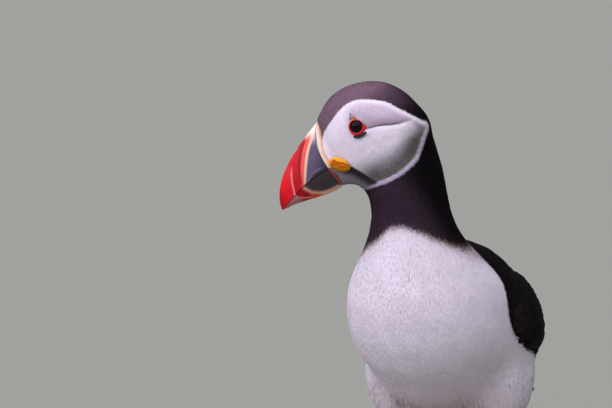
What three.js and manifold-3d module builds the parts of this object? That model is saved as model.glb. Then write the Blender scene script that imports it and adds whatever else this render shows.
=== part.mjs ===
// An Atlantic puffin in summer plumage, life-size, standing on both feet with its neck stretched up and its
// head turned over its right shoulder.
// Millimetres, +Z up. The bird's breast faces -Y and its left side is +X. The tables below have x = 0 along
// the middle of the trunk. At the end the whole bird is moved so that the origin is on the floor, midway
// across and along the bird.
import * as THREE from "three";
import { mergeVertices } from "three/addons/utils/BufferGeometryUtils.js";
import Module from "manifold-3d";

const wasm = await Module();
wasm.setup();

// ---- Driving dimensions ----

const GAP = 0.3; // clearance between neighbouring pieces
const HEAD_TURN = 70; // degrees that the head is turned to the bird's right
const HEAD_PITCH = 28; // degrees that the bill points below the horizontal
const HEAD_AT = [-26.2, -52.4, 183.7]; // the origin of the head's frame, midway between the eyes

const EYE_AT = { forward: -0.4, out: 14.3, up: 1.9 }; // the centre of the left eyeball in the head's frame
const EYE_LOOK = { forward: 0.17, out: 1, up: 0.2 }; // the way that it looks
const EYE_RADIUS = 4.5;
// The eyelid's ring, which stands the lift in front of the eyeball's centre.
const EYE_RING = { radius: 3.35, thickness: 0.6, lift: 4.25 };
const PLATE_PROUD = 0.9; // how far the horny plates by the eye stand off the skin

const ANKLE = { x: 25.5, y: 12, z: 29.5 }; // the joint between the feathered thigh and the bare shank
const TOES_AT = { x: 26, y: 5 }; // where the three toes meet the shank
const FOOT_TURN = -7; // degrees that each foot points outwards
const TOE_HEIGHT = 6.2; // top of the joint that carries the toes
const JOINT_RADIUS = { top: 3, floor: 3.9 };
const WEB_THICKNESS = 0.9;
const WEB_SCOOP = 0.86; // how far the web's front edge reaches between two toes, as a share of their length
// The toe's radius at shares of its length: it swells at each joint.
const TOE_JOINTS = [[0, 2.8], [0.14, 2.9], [0.4, 2.2], [0.46, 2.5], [0.53, 2.1], [0.76, 2.2], [1, 1.5]];
// The claw's height and radius at shares of its length.
const CLAW_SHAPE = [[0, 1.5, 1.25], [0.35, 1.7, 1.1], [0.7, 1.15, 0.7], [1, 0.4, 0.25]];
// Each toe's angle is in degrees towards the bird's middle.
const TOES = {
  inner: { length: 25, angle: 27, claw: 7 },
  middle: { length: 36, angle: 2, claw: 6 },
  outer: { length: 33, angle: -22, claw: 5 },
};

// Stations of the body from the rump, up through the neck, to the back of the head. A ring stands at x, y,
// z, with its top tilted back by tilt degrees from upright and turned to the bird's left by turn degrees. It
// is wide to each side and reaches up towards the back and down towards the breast.
const BODY = [
  { x: 0, y: 88, z: 56, tilt: 22, turn: 0, wide: 8, up: 5, down: 6 },
  { x: 0, y: 74, z: 62.5, tilt: 22, turn: 0, wide: 14.5, up: 12.5, down: 14 },
  { x: 0, y: 50, z: 72, tilt: 22, turn: 0, wide: 25, up: 25, down: 27 },
  { x: 0, y: 22, z: 81, tilt: 23, turn: 0, wide: 36.5, up: 34, down: 39 },
  { x: 0, y: -5, z: 89, tilt: 27, turn: 0, wide: 41.5, up: 38, down: 45 },
  { x: 0, y: -24, z: 98, tilt: 40, turn: 0, wide: 40.5, up: 35, down: 43 },
  { x: 0, y: -35, z: 110, tilt: 60, turn: 0, wide: 34.5, up: 28, down: 34 },
  { x: -0.5, y: -40, z: 122, tilt: 76, turn: 2, wide: 26.5, up: 24, down: 24 },
  { x: -1.5, y: -42, z: 136, tilt: 86, turn: 12, wide: 20, up: 19.5, down: 19.5 },
  { x: -3, y: -44, z: 150, tilt: 80, turn: 35, wide: 18, up: 18.5, down: 19 },
  { x: -5.5, y: -45.5, z: 162, tilt: 62, turn: 58, wide: 18, up: 19.5, down: 20 },
  { x: -9, y: -46.5, z: 173, tilt: 45, turn: 70, wide: 17, up: 20, down: 18 },
];
// Stations of the head from the bill's base to the nape, in the head's own frame: along is forward, and level
// is the height of the widest line.
const HEAD = [
  { along: 18.6, level: -7, wide: 7.2, up: 17, down: 15.4 },
  { along: 14, level: -7, wide: 11.5, up: 20.6, down: 18.4 },
  { along: 8, level: -7, wide: 15.4, up: 24.6, down: 21.6 },
  { along: 0, level: -7, wide: 18.9, up: 26.6, down: 24.6 },
  { along: -8, level: -8, wide: 20.8, up: 26.8, down: 25.5 },
  { along: -16, level: -9, wide: 21, up: 25, down: 24 },
  { along: -23, level: -10, wide: 19, up: 20.8, down: 20 },
  { along: -28, level: -11, wide: 15, up: 14, down: 15 },
  { along: -30.6, level: -12, wide: 9, up: 8, down: 9 },
  { along: -31.7, level: -12.5, wide: 3, up: 3, down: 3 },
];
// Stations of the left wing from its bend to the end of the tertials. lean tips the section's top inwards.
const WING = [
  { x: 36.5, y: -17, z: 92.5, lean: 18, high: 7, thick: 3 },
  { x: 37, y: -11, z: 91.5, lean: 18, high: 15, thick: 6 },
  { x: 37.3, y: 0, z: 90.5, lean: 18, high: 20, thick: 9 },
  { x: 35.8, y: 16, z: 88, lean: 20, high: 20.5, thick: 10.5 },
  { x: 30, y: 34, z: 82.5, lean: 24, high: 18.5, thick: 9.5 },
  { x: 22, y: 54, z: 72.5, lean: 28, high: 15.5, thick: 8 },
  { x: 15.5, y: 74, z: 60.5, lean: 32, high: 12, thick: 6 },
  { x: 12, y: 88, z: 52, lean: 36, high: 7, thick: 4 },
  { x: 11, y: 93, z: 49, lean: 36, high: 3, thick: 2 },
];
// Stations of the folded flight feathers that show below and behind the wing.
const FLIGHT = [
  { x: 31, y: 26, z: 69, lean: 12, high: 5, thick: 2.6 },
  { x: 27.5, y: 40, z: 64, lean: 16, high: 7.5, thick: 3.2 },
  { x: 19, y: 62, z: 56, lean: 22, high: 9, thick: 3.2 },
  { x: 13, y: 84, z: 49, lean: 28, high: 8, thick: 2.6 },
  { x: 10.5, y: 102, z: 45.5, lean: 32, high: 4.8, thick: 1.7 },
  { x: 9, y: 113, z: 43, lean: 34, high: 1.8, thick: 0.8 },
];
// Stations of the tail's fan from its root to its rounded end.
const TAIL = [
  { y: 80, z: 58, wide: 8, thick: 4.6 },
  { y: 88, z: 53.5, wide: 10.5, thick: 4.2 },
  { y: 100, z: 46, wide: 14, thick: 3 },
  { y: 112, z: 38.5, wide: 16, thick: 2 },
  { y: 119, z: 34, wide: 14, thick: 1.4 },
  { y: 123.5, z: 31.2, wide: 8, thick: 0.8 },
];
// Stations of the left thigh's feathers from inside the flank down to the ankle.
const THIGH = [
  { x: 22, y: 13, z: 75, wide: 14, long: 24 },
  { x: 27, y: 13, z: 65, wide: 14.5, long: 25 },
  { x: 29, y: 12.5, z: 56, wide: 14, long: 23.5 },
  { x: 29.3, y: 12, z: 48, wide: 12.8, long: 19.5 },
  { x: 29, y: 12, z: 41, wide: 11.4, long: 14.5 },
  { x: 27.6, y: 12, z: 35, wide: 8.6, long: 9.6 },
  { x: 26.2, y: 12, z: 31.4, wide: 5.4, long: 6.2 },
  { x: ANKLE.x, y: ANKLE.y, z: ANKLE.z, wide: 3.8, long: 4.6 },
];
// Stations of the left shank from the ankle down to the toes.
const SHANK = [
  { x: ANKLE.x, y: ANKLE.y, z: ANKLE.z - GAP, wide: 3.3, long: 4.2 },
  { x: ANKLE.x, y: ANKLE.y - 0.5, z: 26, wide: 3.2, long: 4 },
  { x: ANKLE.x, y: ANKLE.y - 2, z: 21, wide: 2.5, long: 3.3 },
  { x: TOES_AT.x, y: TOES_AT.y + 3, z: 14, wide: 2.4, long: 3.1 },
  { x: TOES_AT.x, y: TOES_AT.y + 0.8, z: 9, wide: 2.9, long: 3.2 },
  { x: TOES_AT.x, y: TOES_AT.y, z: TOE_HEIGHT + GAP, wide: 3.1, long: 3.2 },
];

// The bill's outlines in the head's frame, as [forward, up].
const CULMEN = [[17.4, 10.7], [34, 4], [51.5, -6], [52.3, -19.8]]; // the ridge of the upper mandible
const TOMIUM = [[22.4, -11.4], [38, -11.6], [51.6, -19.6]]; // the line where the bill closes
const GONYS = [[19.8, -22.3], [28, -24.6], [37, -20.2], [49.8, -19.3]]; // the lower mandible's lower edge
const RIDGE_BACK = [[14.6, 10.6], [19, 0.6], [18.8, -10.4]]; // the rear edge of the pale ridge at the base
// Lines across the upper mandible: each joins a share of the culmen to a share of the closing line, and bows
// forwards by some millimetres.
const BILL_LINES = [
  { culmen: 0, tomium: 0, bow: 2.9 },
  { culmen: 0.06, tomium: 0.3, bow: 2.2 },
  { culmen: 0.13, tomium: 0.48, bow: 1.6 }, // the edge of the blue-grey plate
  { culmen: 0.25, tomium: 0.58, bow: 1.5 },
  { culmen: 0.42, tomium: 0.7, bow: 1.5 },
  { culmen: 0.6, tomium: 0.81, bow: 1.1 },
  { culmen: 0.78, tomium: 0.9, bow: 0.7 },
  { culmen: 0.92, tomium: 0.965, bow: 0.3 },
  { culmen: 0.985, tomium: 0.992, bow: 0 },
];
const BILL_WIDTH = 7.6; // half the bill's width at its base
const BILL_TIP_WIDTH = 0.9;
const BILL_ROOM = 1.08; // how much wider than the bill the face's opening for it is
const BILL_TAPER = 1.35; // the power with which it narrows towards the tip
const CULMEN_SHARE = 0.26; // the ridge's width as a share of the width at the closing line
const KEEL_SHARE = 0.42; // the keel's width under the lower mandible, likewise
const LOWER_BILL = { reach: 0.97, width: 0.96, setBack: 0.6, thinnest: 0.5 };
// The pale ridge's cross-section: shares of the way forwards, and how proud of the bill it stands there.
const RIDGE_PROFILE = [[0, 0.2], [0.3, 0.9], [0.7, 0.9], [1, 0.25]];
const ROSETTE = { forward: 15.8, up: -11.8, long: 5.4, wide: 3.4, slope: 52, fall: 0.18 };
// How far out each layer of the rosette lies, and how large it is.
const ROSETTE_LAYERS = [[-1.2, 0.55], [0, 0.92], [1.3, 1], [2.4, 0.72], [2.9, 0.3]];
// Outlines of the horny plates above and below the eye, as [forward, up] from the eye's centre.
const BROW_OUTLINE = [[1.9, 3.8], [-1.4, 7.6], [-2.6, 3.7]];
const UNDER_OUTLINE = [[3.3, -3.8], [3.4, -5], [1.8, -6.4], [-0.4, -6.9], [-2.8, -6.3], [-3.8, -5.1]];

// The planes that part the head from the neck, in the head's frame, and the neck from the trunk.
const BASE_CUT = { from: 19.2, size: 60 }; // the face ends here, behind the bill
const HEAD_PARTING = { at: [-10, 0, -29], up: [0.12, 0, 1] };
const NECK_PARTING = { at: [0, -40, 120], up: [0, -0.3, 1] };

// How finely each form is divided: steps along it and sides round it.
const DETAIL = {
  body: [24, 24],
  head: [15, 22],
  wing: [13, 14],
  flight: [8, 14],
  tail: [8, 14],
  thigh: [8, 14],
  shank: [8, 10],
  eye: [9, 14],
  ring: [6, 15],
};
const BODY_FULLNESS = 2.12; // 2 is an ellipse, and more is squarer
const HEAD_FULLNESS = 2.15;

// ---- Colours ----

const paint = (color, roughness) => new THREE.MeshStandardMaterial({ color, roughness, metalness: 0 });
const BLACK = paint(0x1b171c, 0.7);
const WHITE = paint(0xe4dee8, 0.8);
const GREY = paint(0xd8d0dc, 0.8);
const RED = paint(0xd2262a, 0.35);
const SLATE = paint(0x4d4658, 0.4);
const CREAM = paint(0xe3cdb9, 0.5);
const YELLOW = paint(0xe8930f, 0.5);
const ORANGE = paint(0xe2571b, 0.5);
const CLAW = paint(0x151214, 0.35);
const EYE = paint(0x0d090a, 0.08);

// ---- Tools for closed shapes ----

const radians = THREE.MathUtils.degToRad;
const Z = new THREE.Vector3(0, 0, 1);

// Rings of equal size joined into one closed skin, with a fan over each end.
function skinOf(rings) {
  const sides = rings[0].length;
  const points = rings.flat();
  const faces = [];
  for (let r = 0; r + 1 < rings.length; r++) {
    for (let k = 0; k < sides; k++) {
      const a = r * sides + k;
      const b = r * sides + ((k + 1) % sides);
      faces.push(a, b, b + sides, a, b + sides, a + sides);
    }
  }
  for (const [r, turned] of [[0, true], [rings.length - 1, false]]) {
    const middle = points.length;
    points.push(rings[r].reduce((sum, p) => sum.add(p), new THREE.Vector3()).divideScalar(sides));
    for (let k = 0; k < sides; k++) {
      const a = r * sides + k;
      const b = r * sides + ((k + 1) % sides);
      faces.push(...(turned ? [b, a, middle] : [a, b, middle]));
    }
  }
  let volume = 0;
  for (let i = 0; i < faces.length; i += 3) {
    const [a, b, c] = faces.slice(i, i + 3).map((k) => points[k]);
    volume += a.dot(b.clone().cross(c)) / 6;
  }
  if (volume < 0) faces.reverse(); // the rings ran the other way round
  return new THREE.BufferGeometry().setFromPoints(points).setIndex(faces);
}

// A geometry as a manifold-3d solid.
function solidOf(geometry) {
  const bare = geometry.index ? geometry.toNonIndexed() : geometry.clone();
  bare.deleteAttribute("normal").deleteAttribute("uv");
  const merged = mergeVertices(bare, 1e-3);
  const vertProperties = merged.attributes.position.array;
  const triVerts = new Uint32Array(merged.index.array);
  return new wasm.Manifold(new wasm.Mesh({ numProp: 3, vertProperties, triVerts }));
}

// The largest body of a manifold-3d solid as a geometry.
function geometryOf(solid) {
  const bodies = solid.decompose().sort((a, b) => b.volume() - a.volume());
  const mesh = bodies[0].getMesh();
  return new THREE.BufferGeometry()
    .setAttribute("position", new THREE.BufferAttribute(new Float32Array(mesh.vertProperties), 3))
    .setIndex(new THREE.BufferAttribute(new Uint32Array(mesh.triVerts), 1));
}

// What is left of a solid when it keeps clear of the others.
const clearOf = (solid, ...others) => others.reduce((rest, other) => rest.subtract(other), solid);

// The space on one side of a plane, from half a gap beyond it.
function beyond(place, normal) {
  const turn = new THREE.Quaternion().setFromUnitVectors(Z, normal.clone().normalize());
  const reach = 400;
  return solidOf(new THREE.BoxGeometry(reach, reach, reach)
    .translate(0, 0, (reach + GAP) / 2)
    .applyQuaternion(turn)
    .translate(place.x, place.y, place.z));
}

// A smooth run through a table of stations, with as many steps between them all, evenly spaced by distance.
function through(stations, steps) {
  const keys = Object.keys(stations[0]);
  const places = stations.map((s) => new THREE.Vector3(s.x ?? 0, s.y ?? s.along ?? 0, s.z ?? 0));
  const at = [0];
  for (let i = 1; i < places.length; i++) at.push(at[i - 1] + places[i].distanceTo(places[i - 1]));
  const table = new THREE.CubicInterpolant(at, stations.flatMap((s) => keys.map((k) => s[k])), keys.length);
  return Array.from({ length: steps + 1 }, (_, i) => {
    const values = table.evaluate((i / steps) * at[at.length - 1]);
    return Object.fromEntries(keys.map((k, n) => [k, values[n]]));
  });
}

// The points of a rounded section, across and up from its middle. It is fuller than an ellipse over full 2.
function section(sides, full, wide, up, down) {
  const bend = (v) => Math.sign(v) * Math.abs(v) ** (2 / full);
  return Array.from({ length: sides }, (_, k) => {
    const angle = (2 * Math.PI * k) / sides;
    const rise = bend(Math.sin(angle));
    return [wide * bend(Math.cos(angle)), rise * (rise > 0 ? up : down)];
  });
}

// A point on a Bezier curve given by its three or four handles.
function bezier(handles, t) {
  const v = handles.map(([a, b]) => new THREE.Vector2(a, b));
  return new (v.length === 3 ? THREE.QuadraticBezierCurve : THREE.CubicBezierCurve)(...v).getPoint(t);
}

// ---- Head and bill, in the head's own frame: +X forward, +Y to the bird's left, +Z up ----

const HEAD_LOFT = through(HEAD, 200); // fine enough to look a width up in

function headSkin(grow = 0) {
  const [steps, sides] = DETAIL.head;
  return skinOf(through(HEAD, steps).map((s) =>
    section(sides, HEAD_FULLNESS, s.wide + grow, s.up + grow, s.down + grow)
      .map(([y, z]) => new THREE.Vector3(s.along, y, s.level + z))));
}

// The half width of the head at a place in its side view.
function headHalfWidth(forward, z) {
  const nearer = (a, b) => (Math.abs(b.along - forward) < Math.abs(a.along - forward) ? b : a);
  const s = HEAD_LOFT.reduce(nearer);
  const rise = z - s.level;
  const share = Math.min(1, Math.abs(rise / (rise > 0 ? s.up : s.down)));
  return s.wide * (1 - share ** HEAD_FULLNESS) ** (1 / HEAD_FULLNESS);
}

// The bill's half width narrows from base to tip.
const billWidth = (share) => BILL_TIP_WIDTH + (BILL_WIDTH - BILL_TIP_WIDTH) * (1 - share ** BILL_TAPER);

// How wide the bill is a share of the way from its narrow edge to the closing line.
const billFlare = (share, edge) => edge + (1 - edge) * Math.sin((Math.PI / 2) * share) ** 0.9;

// A closed ring down the bill's left side and up its right. For each share of the way down, at gives the
// place forward, the half width and the height.
function billRing(at) {
  const steps = 6;
  const side = (sign) => Array.from({ length: steps + 1 }, (_, j) => {
    const [forward, wide, up] = at(j / steps);
    return new THREE.Vector3(forward, sign * wide, up);
  });
  return [...side(1), ...side(-1).reverse()];
}

// How far a line across the bill bows forwards at a share of its length.
const bowed = (bow, share) => bow * 4 * share * (1 - share);

function upperBill() {
  return skinOf(BILL_LINES.map(({ culmen, tomium, bow }, i) => {
    const top = bezier(CULMEN, culmen);
    const bottom = bezier(TOMIUM, tomium);
    const clearance = i === 0 ? GAP : 0; // the ridge stands behind the first line
    return billRing((t) => {
      const spot = top.clone().lerp(bottom, t);
      return [spot.x + bowed(bow, t) + clearance, billWidth(tomium) * billFlare(t, CULMEN_SHARE), spot.y];
    });
  }));
}

// The lower mandible hangs a gap below the closing line and narrows downwards to its keel.
function lowerBill() {
  const steps = 8;
  return skinOf(Array.from({ length: steps + 1 }, (_, i) => {
    const share = (i / steps) * LOWER_BILL.reach;
    const top = bezier(TOMIUM, share).sub(new THREE.Vector2(LOWER_BILL.setBack * (1 - share), GAP));
    const bottom = bezier(GONYS, share);
    bottom.y = Math.min(bottom.y, top.y - LOWER_BILL.thinnest);
    return billRing((t) => {
      const spot = bottom.clone().lerp(top, t);
      return [spot.x, billWidth(share) * LOWER_BILL.width * billFlare(t, KEEL_SHARE), spot.y];
    });
  }));
}

// The pale ridge round the base of the upper mandible, a little prouder than the bill.
function billRidge() {
  return skinOf(RIDGE_PROFILE.map(([share, proud]) => billRing((t) => {
    const front = bezier(CULMEN, 0).lerp(bezier(TOMIUM, 0), t);
    front.x += bowed(BILL_LINES[0].bow, t);
    const spot = bezier(RIDGE_BACK, t).lerp(front, share);
    const rise = t === 0 ? proud : 0;
    return [spot.x, BILL_WIDTH * billFlare(t, CULMEN_SHARE) + proud, spot.y + rise];
  })));
}

// The wrinkled rosette of bare skin at the left corner of the mouth: a plump leaf that stands on the cheek.
function rosette() {
  const slope = radians(ROSETTE.slope);
  return skinOf(ROSETTE_LAYERS.map(([out, size]) =>
    section(12, 2.2, ROSETTE.long * size, ROSETTE.wide * size, ROSETTE.wide * size).map(([a, b]) => {
      const forward = b * Math.sin(slope) - a * Math.cos(slope);
      const rise = -a * Math.sin(slope) - b * Math.cos(slope);
      const cheek = headHalfWidth(ROSETTE.forward, ROSETTE.up) - ROSETTE.fall * forward;
      return new THREE.Vector3(ROSETTE.forward + forward, cheek + out, ROSETTE.up + rise);
    })));
}

// A small horny plate that stands on the skin by the left eye, from its outline in side view from the eye.
function eyePlate(outline) {
  const corners = outline.map(([a, b]) => new THREE.Vector2(a + EYE_AT.forward, b + EYE_AT.up));
  const depth = 3;
  const shape = new THREE.Shape(corners);
  const plate = new THREE.ExtrudeGeometry(shape, { depth, bevelEnabled: false }).rotateX(Math.PI / 2);
  const spots = plate.attributes.position;
  for (let i = 0; i < spots.count; i++) {
    const outer = spots.getY(i) > -depth / 2;
    spots.setY(i, headHalfWidth(spots.getX(i), spots.getZ(i)) + (outer ? PLATE_PROUD : -PLATE_PROUD));
  }
  return plate;
}

// Turns and moves a geometry from an eye's own frame, where +Z looks out, into the head's frame. The sign
// is 1 for the left eye and -1 for the right.
function atEye(geometry, sign) {
  const look = new THREE.Vector3(EYE_LOOK.forward, sign * EYE_LOOK.out, EYE_LOOK.up).normalize();
  return geometry
    .applyQuaternion(new THREE.Quaternion().setFromUnitVectors(Z, look))
    .translate(EYE_AT.forward, sign * EYE_AT.out, EYE_AT.up);
}

function eyeball(sign, grow = 0) {
  const [steps, sides] = DETAIL.eye;
  return atEye(new THREE.SphereGeometry(EYE_RADIUS + grow, sides, steps).rotateX(Math.PI / 2), sign);
}

// The fleshy ring of an eyelid.
function eyeRing(sign, grow = 0) {
  const { radius, thickness, lift } = EYE_RING;
  const [sides, steps] = DETAIL.ring;
  return atEye(new THREE.TorusGeometry(radius, thickness + grow, sides, steps).translate(0, 0, lift), sign);
}

// The round well in the face that the ring stands in.
function eyeWell(sign) {
  const { radius, thickness, lift } = EYE_RING;
  const wide = radius + thickness + GAP;
  const deep = 4;
  const well = new THREE.CylinderGeometry(wide, wide, deep, DETAIL.ring[1]).rotateX(Math.PI / 2);
  return atEye(well.translate(0, 0, lift - thickness - GAP + deep / 2), sign);
}

function buildHeadParts(group) {
  const add = (name, geometry, material, parent = group) => {
    const mesh = new THREE.Mesh(geometry, material);
    mesh.name = name;
    parent.add(mesh);
  };
  add("bill_ridge", billRidge(), CREAM);
  add("bill_upper", upperBill(), RED);
  add("bill_lower", lowerBill(), RED);
  const ridge = solidOf(billRidge());
  const headRoom = solidOf(headSkin(GAP));
  const eyeRoom = solidOf(eyeball(1, GAP));
  const ringRoom = solidOf(eyeRing(1, GAP));
  const lowerRoom = solidOf(lowerBill().translate(-GAP, 0, 0));
  for (const [side, sign] of [["left", 1], ["right", -1]]) {
    const half = new THREE.Group();
    half.scale.y = sign;
    group.add(half);
    add("eye_" + side, eyeball(1), EYE, half);
    add("eye_ring_" + side, eyeRing(1), ORANGE, half);
    for (const [name, outline] of [["brow_plate_", BROW_OUTLINE], ["under_plate_", UNDER_OUTLINE]]) {
      const plate = clearOf(solidOf(eyePlate(outline)), headRoom, ringRoom, eyeRoom);
      add(name + side, geometryOf(plate), SLATE, half);
    }
    add("rosette_" + side, geometryOf(clearOf(solidOf(rosette()), headRoom, ridge, lowerRoom)), YELLOW, half);
  }
}

// ---- Body ----

function bodySkin(grow = 0) {
  const [steps, sides] = DETAIL.body;
  return skinOf(through(BODY, steps).map((s) => {
    const tilt = radians(s.tilt);
    const turn = radians(s.turn);
    const across = new THREE.Vector3(Math.cos(turn), -Math.sin(turn), 0);
    const top = new THREE.Vector3(
      Math.sin(turn) * Math.sin(tilt),
      Math.cos(turn) * Math.sin(tilt),
      Math.cos(tilt),
    );
    return section(sides, BODY_FULLNESS, s.wide + grow, s.up + grow, s.down + grow).map(([wide, rise]) =>
      new THREE.Vector3(s.x, s.y, s.z).addScaledVector(across, wide).addScaledVector(top, rise));
  }));
}

// A flattened form along the flank, such as the folded wing, whose section leans in at the top.
function bladeSkin(stations, [steps, sides], grow = 0) {
  return skinOf(through(stations, steps).map((s) => {
    const lean = radians(s.lean);
    return section(sides, 2, s.thick + grow, s.high + grow, s.high + grow).map(([out, rise]) =>
      new THREE.Vector3(
        s.x + out * Math.cos(lean) - rise * Math.sin(lean),
        s.y,
        s.z + out * Math.sin(lean) + rise * Math.cos(lean),
      ));
  }));
}

// An upright form with level rings, such as the thigh and the shank.
function columnSkin(stations, [steps, sides], grow = 0) {
  return skinOf(through(stations, steps).map((s) =>
    section(sides, 2, s.wide + grow, s.long + grow, s.long + grow)
      .map(([across, back]) => new THREE.Vector3(s.x + across, s.y + back, s.z))));
}

function tailSkin(grow = 0) {
  const [steps, sides] = DETAIL.tail;
  const lean = radians(30); // the fan's rings lean back, square to its slope
  return skinOf(through(TAIL, steps).map((s) =>
    section(sides, 2, s.wide + grow, s.thick + grow, s.thick + grow)
      .map(([across, rise]) =>
        new THREE.Vector3(across, s.y + rise * Math.sin(lean), s.z + rise * Math.cos(lean)))));
}

// ---- Feet, in a frame at the toes' joint on the floor, with +X outwards and -Y forward ----

// A place along a toe: its share of the toe's length, and how far to the outer side of the toe's middle.
function onToe({ length, angle }, share, aside = 0) {
  const turn = radians(angle);
  return new THREE.Vector2(
    aside * Math.cos(turn) - share * length * Math.sin(turn),
    -aside * Math.sin(turn) - share * length * Math.cos(turn),
  );
}

// A toe swells at each of its joints, and its sole is flat on the floor.
function toeSkin(toe) {
  return skinOf(TOE_JOINTS.map(([share, radius]) =>
    section(8, 2, radius, radius, radius).map(([aside, rise]) => {
      const spot = onToe(toe, share, aside);
      return new THREE.Vector3(spot.x, spot.y, Math.max(0, radius * 0.8 + rise));
    })));
}

// The web spans two toes, and its front edge is scooped back between their tips.
function webSkin(first, second) {
  const reach = 0.97;
  const a = onToe(first, reach);
  const b = onToe(second, reach);
  const scoop = a.clone().add(b).multiplyScalar(WEB_SCOOP / 2);
  const heel = 1.5; // the web starts a little behind the toes' joint
  const shape = new THREE.Shape().moveTo(0, heel).lineTo(a.x, a.y);
  shape.quadraticCurveTo(scoop.x, scoop.y, b.x, b.y);
  return new THREE.ExtrudeGeometry(shape, { depth: WEB_THICKNESS, bevelEnabled: false, curveSegments: 6 });
}

function footSkin() {
  const joint = new THREE.CylinderGeometry(JOINT_RADIUS.top, JOINT_RADIUS.floor, TOE_HEIGHT, 12)
    .rotateX(Math.PI / 2)
    .translate(0, 0, TOE_HEIGHT / 2);
  let foot = solidOf(joint);
  for (const toe of Object.values(TOES)) foot = foot.add(solidOf(toeSkin(toe)));
  foot = foot.add(solidOf(webSkin(TOES.inner, TOES.middle)));
  return foot.add(solidOf(webSkin(TOES.middle, TOES.outer)));
}

// A claw curves forwards and down from the end of its toe.
function clawSkin(toe) {
  return skinOf(CLAW_SHAPE.map(([share, height, radius]) =>
    section(7, 2, radius * 0.8, radius, radius).map(([aside, rise]) => {
      const spot = onToe(toe, 1 + (GAP + share * toe.claw) / toe.length, aside);
      return new THREE.Vector3(spot.x, spot.y, Math.max(0.05, height + rise));
    })));
}

function buildLeg(side, sign, bodyRoom) {
  const leg = new THREE.Group();
  leg.scale.x = sign;
  const add = (name, geometry, material, parent = leg) => {
    const mesh = new THREE.Mesh(geometry, material);
    mesh.name = name + "_" + side;
    parent.add(mesh);
  };
  add("thigh", geometryOf(clearOf(solidOf(columnSkin(THIGH, DETAIL.thigh)), bodyRoom)), WHITE);
  add("shank", columnSkin(SHANK, DETAIL.shank), ORANGE);
  const foot = new THREE.Group();
  foot.position.set(TOES_AT.x, TOES_AT.y, 0);
  foot.rotation.z = radians(-FOOT_TURN);
  leg.add(foot);
  add("foot", geometryOf(footSkin()), ORANGE, foot);
  for (const [toe, sizes] of Object.entries(TOES)) add("claw_" + toe, clawSkin(sizes), CLAW, foot);
  return leg;
}

// ---- The whole bird ----

function buildPuffin() {
  const puffin = new THREE.Group();
  const headGroup = new THREE.Group();
  headGroup.position.set(...HEAD_AT);
  headGroup.rotation.set(0, radians(HEAD_PITCH), -radians(90 + HEAD_TURN), "ZYX");
  headGroup.updateMatrixWorld(true);
  puffin.add(headGroup);
  buildHeadParts(headGroup);

  const add = (name, geometry, material, parent = puffin) => {
    const mesh = new THREE.Mesh(geometry, material);
    mesh.name = name;
    parent.add(mesh);
  };
  const inHead = (geometry) => solidOf(geometry.applyMatrix4(headGroup.matrixWorld));

  // The flesh is one form, parted into head, neck and trunk by two thin cuts.
  const flesh = solidOf(bodySkin()).add(inHead(headSkin()));
  const chin = headGroup.localToWorld(new THREE.Vector3(...HEAD_PARTING.at));
  const headUp = new THREE.Vector3(...HEAD_PARTING.up).transformDirection(headGroup.matrixWorld);
  const breast = new THREE.Vector3(...NECK_PARTING.at);
  const neckUp = new THREE.Vector3(...NECK_PARTING.up);
  const billBase = new THREE.BoxGeometry(BASE_CUT.size, BASE_CUT.size, BASE_CUT.size)
    .translate(BASE_CUT.from + BASE_CUT.size / 2, 0, 0);
  const sockets = [1, -1].flatMap((sign) => [inHead(eyeball(sign, GAP)), inHead(eyeWell(sign))]);
  const billRooms = [billRidge, upperBill, lowerBill].map((make) =>
    inHead(make().scale(1, BILL_ROOM, 1).translate(-GAP, 0, GAP)));
  const face = flesh.intersect(beyond(chin, headUp));
  const head = clearOf(face, inHead(billBase), inHead(billRidge()), ...billRooms, ...sockets);
  add("head", geometryOf(head), GREY);
  const throat = flesh.intersect(beyond(chin, headUp.clone().negate())).intersect(beyond(breast, neckUp));
  add("neck", geometryOf(throat), BLACK);
  const tailRoom = solidOf(tailSkin(GAP));
  const belly = flesh.intersect(beyond(breast, neckUp.clone().negate()));
  add("trunk", geometryOf(clearOf(belly, tailRoom)), WHITE);
  add("tail", tailSkin(), BLACK);

  const bodyRoom = solidOf(bodySkin(GAP));
  const thighRoom = solidOf(columnSkin(THIGH, DETAIL.thigh, GAP));
  const wingRoom = solidOf(bladeSkin(WING, DETAIL.wing, GAP));
  const wing = clearOf(solidOf(bladeSkin(WING, DETAIL.wing)), bodyRoom, thighRoom, tailRoom);
  const flight = clearOf(solidOf(bladeSkin(FLIGHT, DETAIL.flight)), bodyRoom, thighRoom, tailRoom, wingRoom);
  for (const [side, sign] of [["left", 1], ["right", -1]]) {
    const half = new THREE.Group();
    half.scale.x = sign;
    puffin.add(half);
    add("wing_" + side, geometryOf(wing), BLACK, half);
    add("flight_feathers_" + side, geometryOf(flight), BLACK, half);
    puffin.add(buildLeg(side, sign, bodyRoom));
  }

  const box = new THREE.Box3().setFromObject(puffin, true);
  const middle = box.getCenter(new THREE.Vector3());
  puffin.position.set(-middle.x, -middle.y, -box.min.z);
  return puffin;
}

export default buildPuffin();
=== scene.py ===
"""Atlantic puffin in summer plumage, a life-size still model.

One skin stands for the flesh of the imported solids. Over it lie the feathers, as small closed tufts and as
vanes on the wings and the tail. The bill, the eyes, the horny plates and the feet are pieces of their own.
"""
import math

import bmesh
import bpy
import numpy as np
from bpy.props import FloatProperty, FloatVectorProperty, IntProperty, PointerProperty
from mathutils import Matrix, Vector
from mathutils.bvhtree import BVHTree


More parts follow.
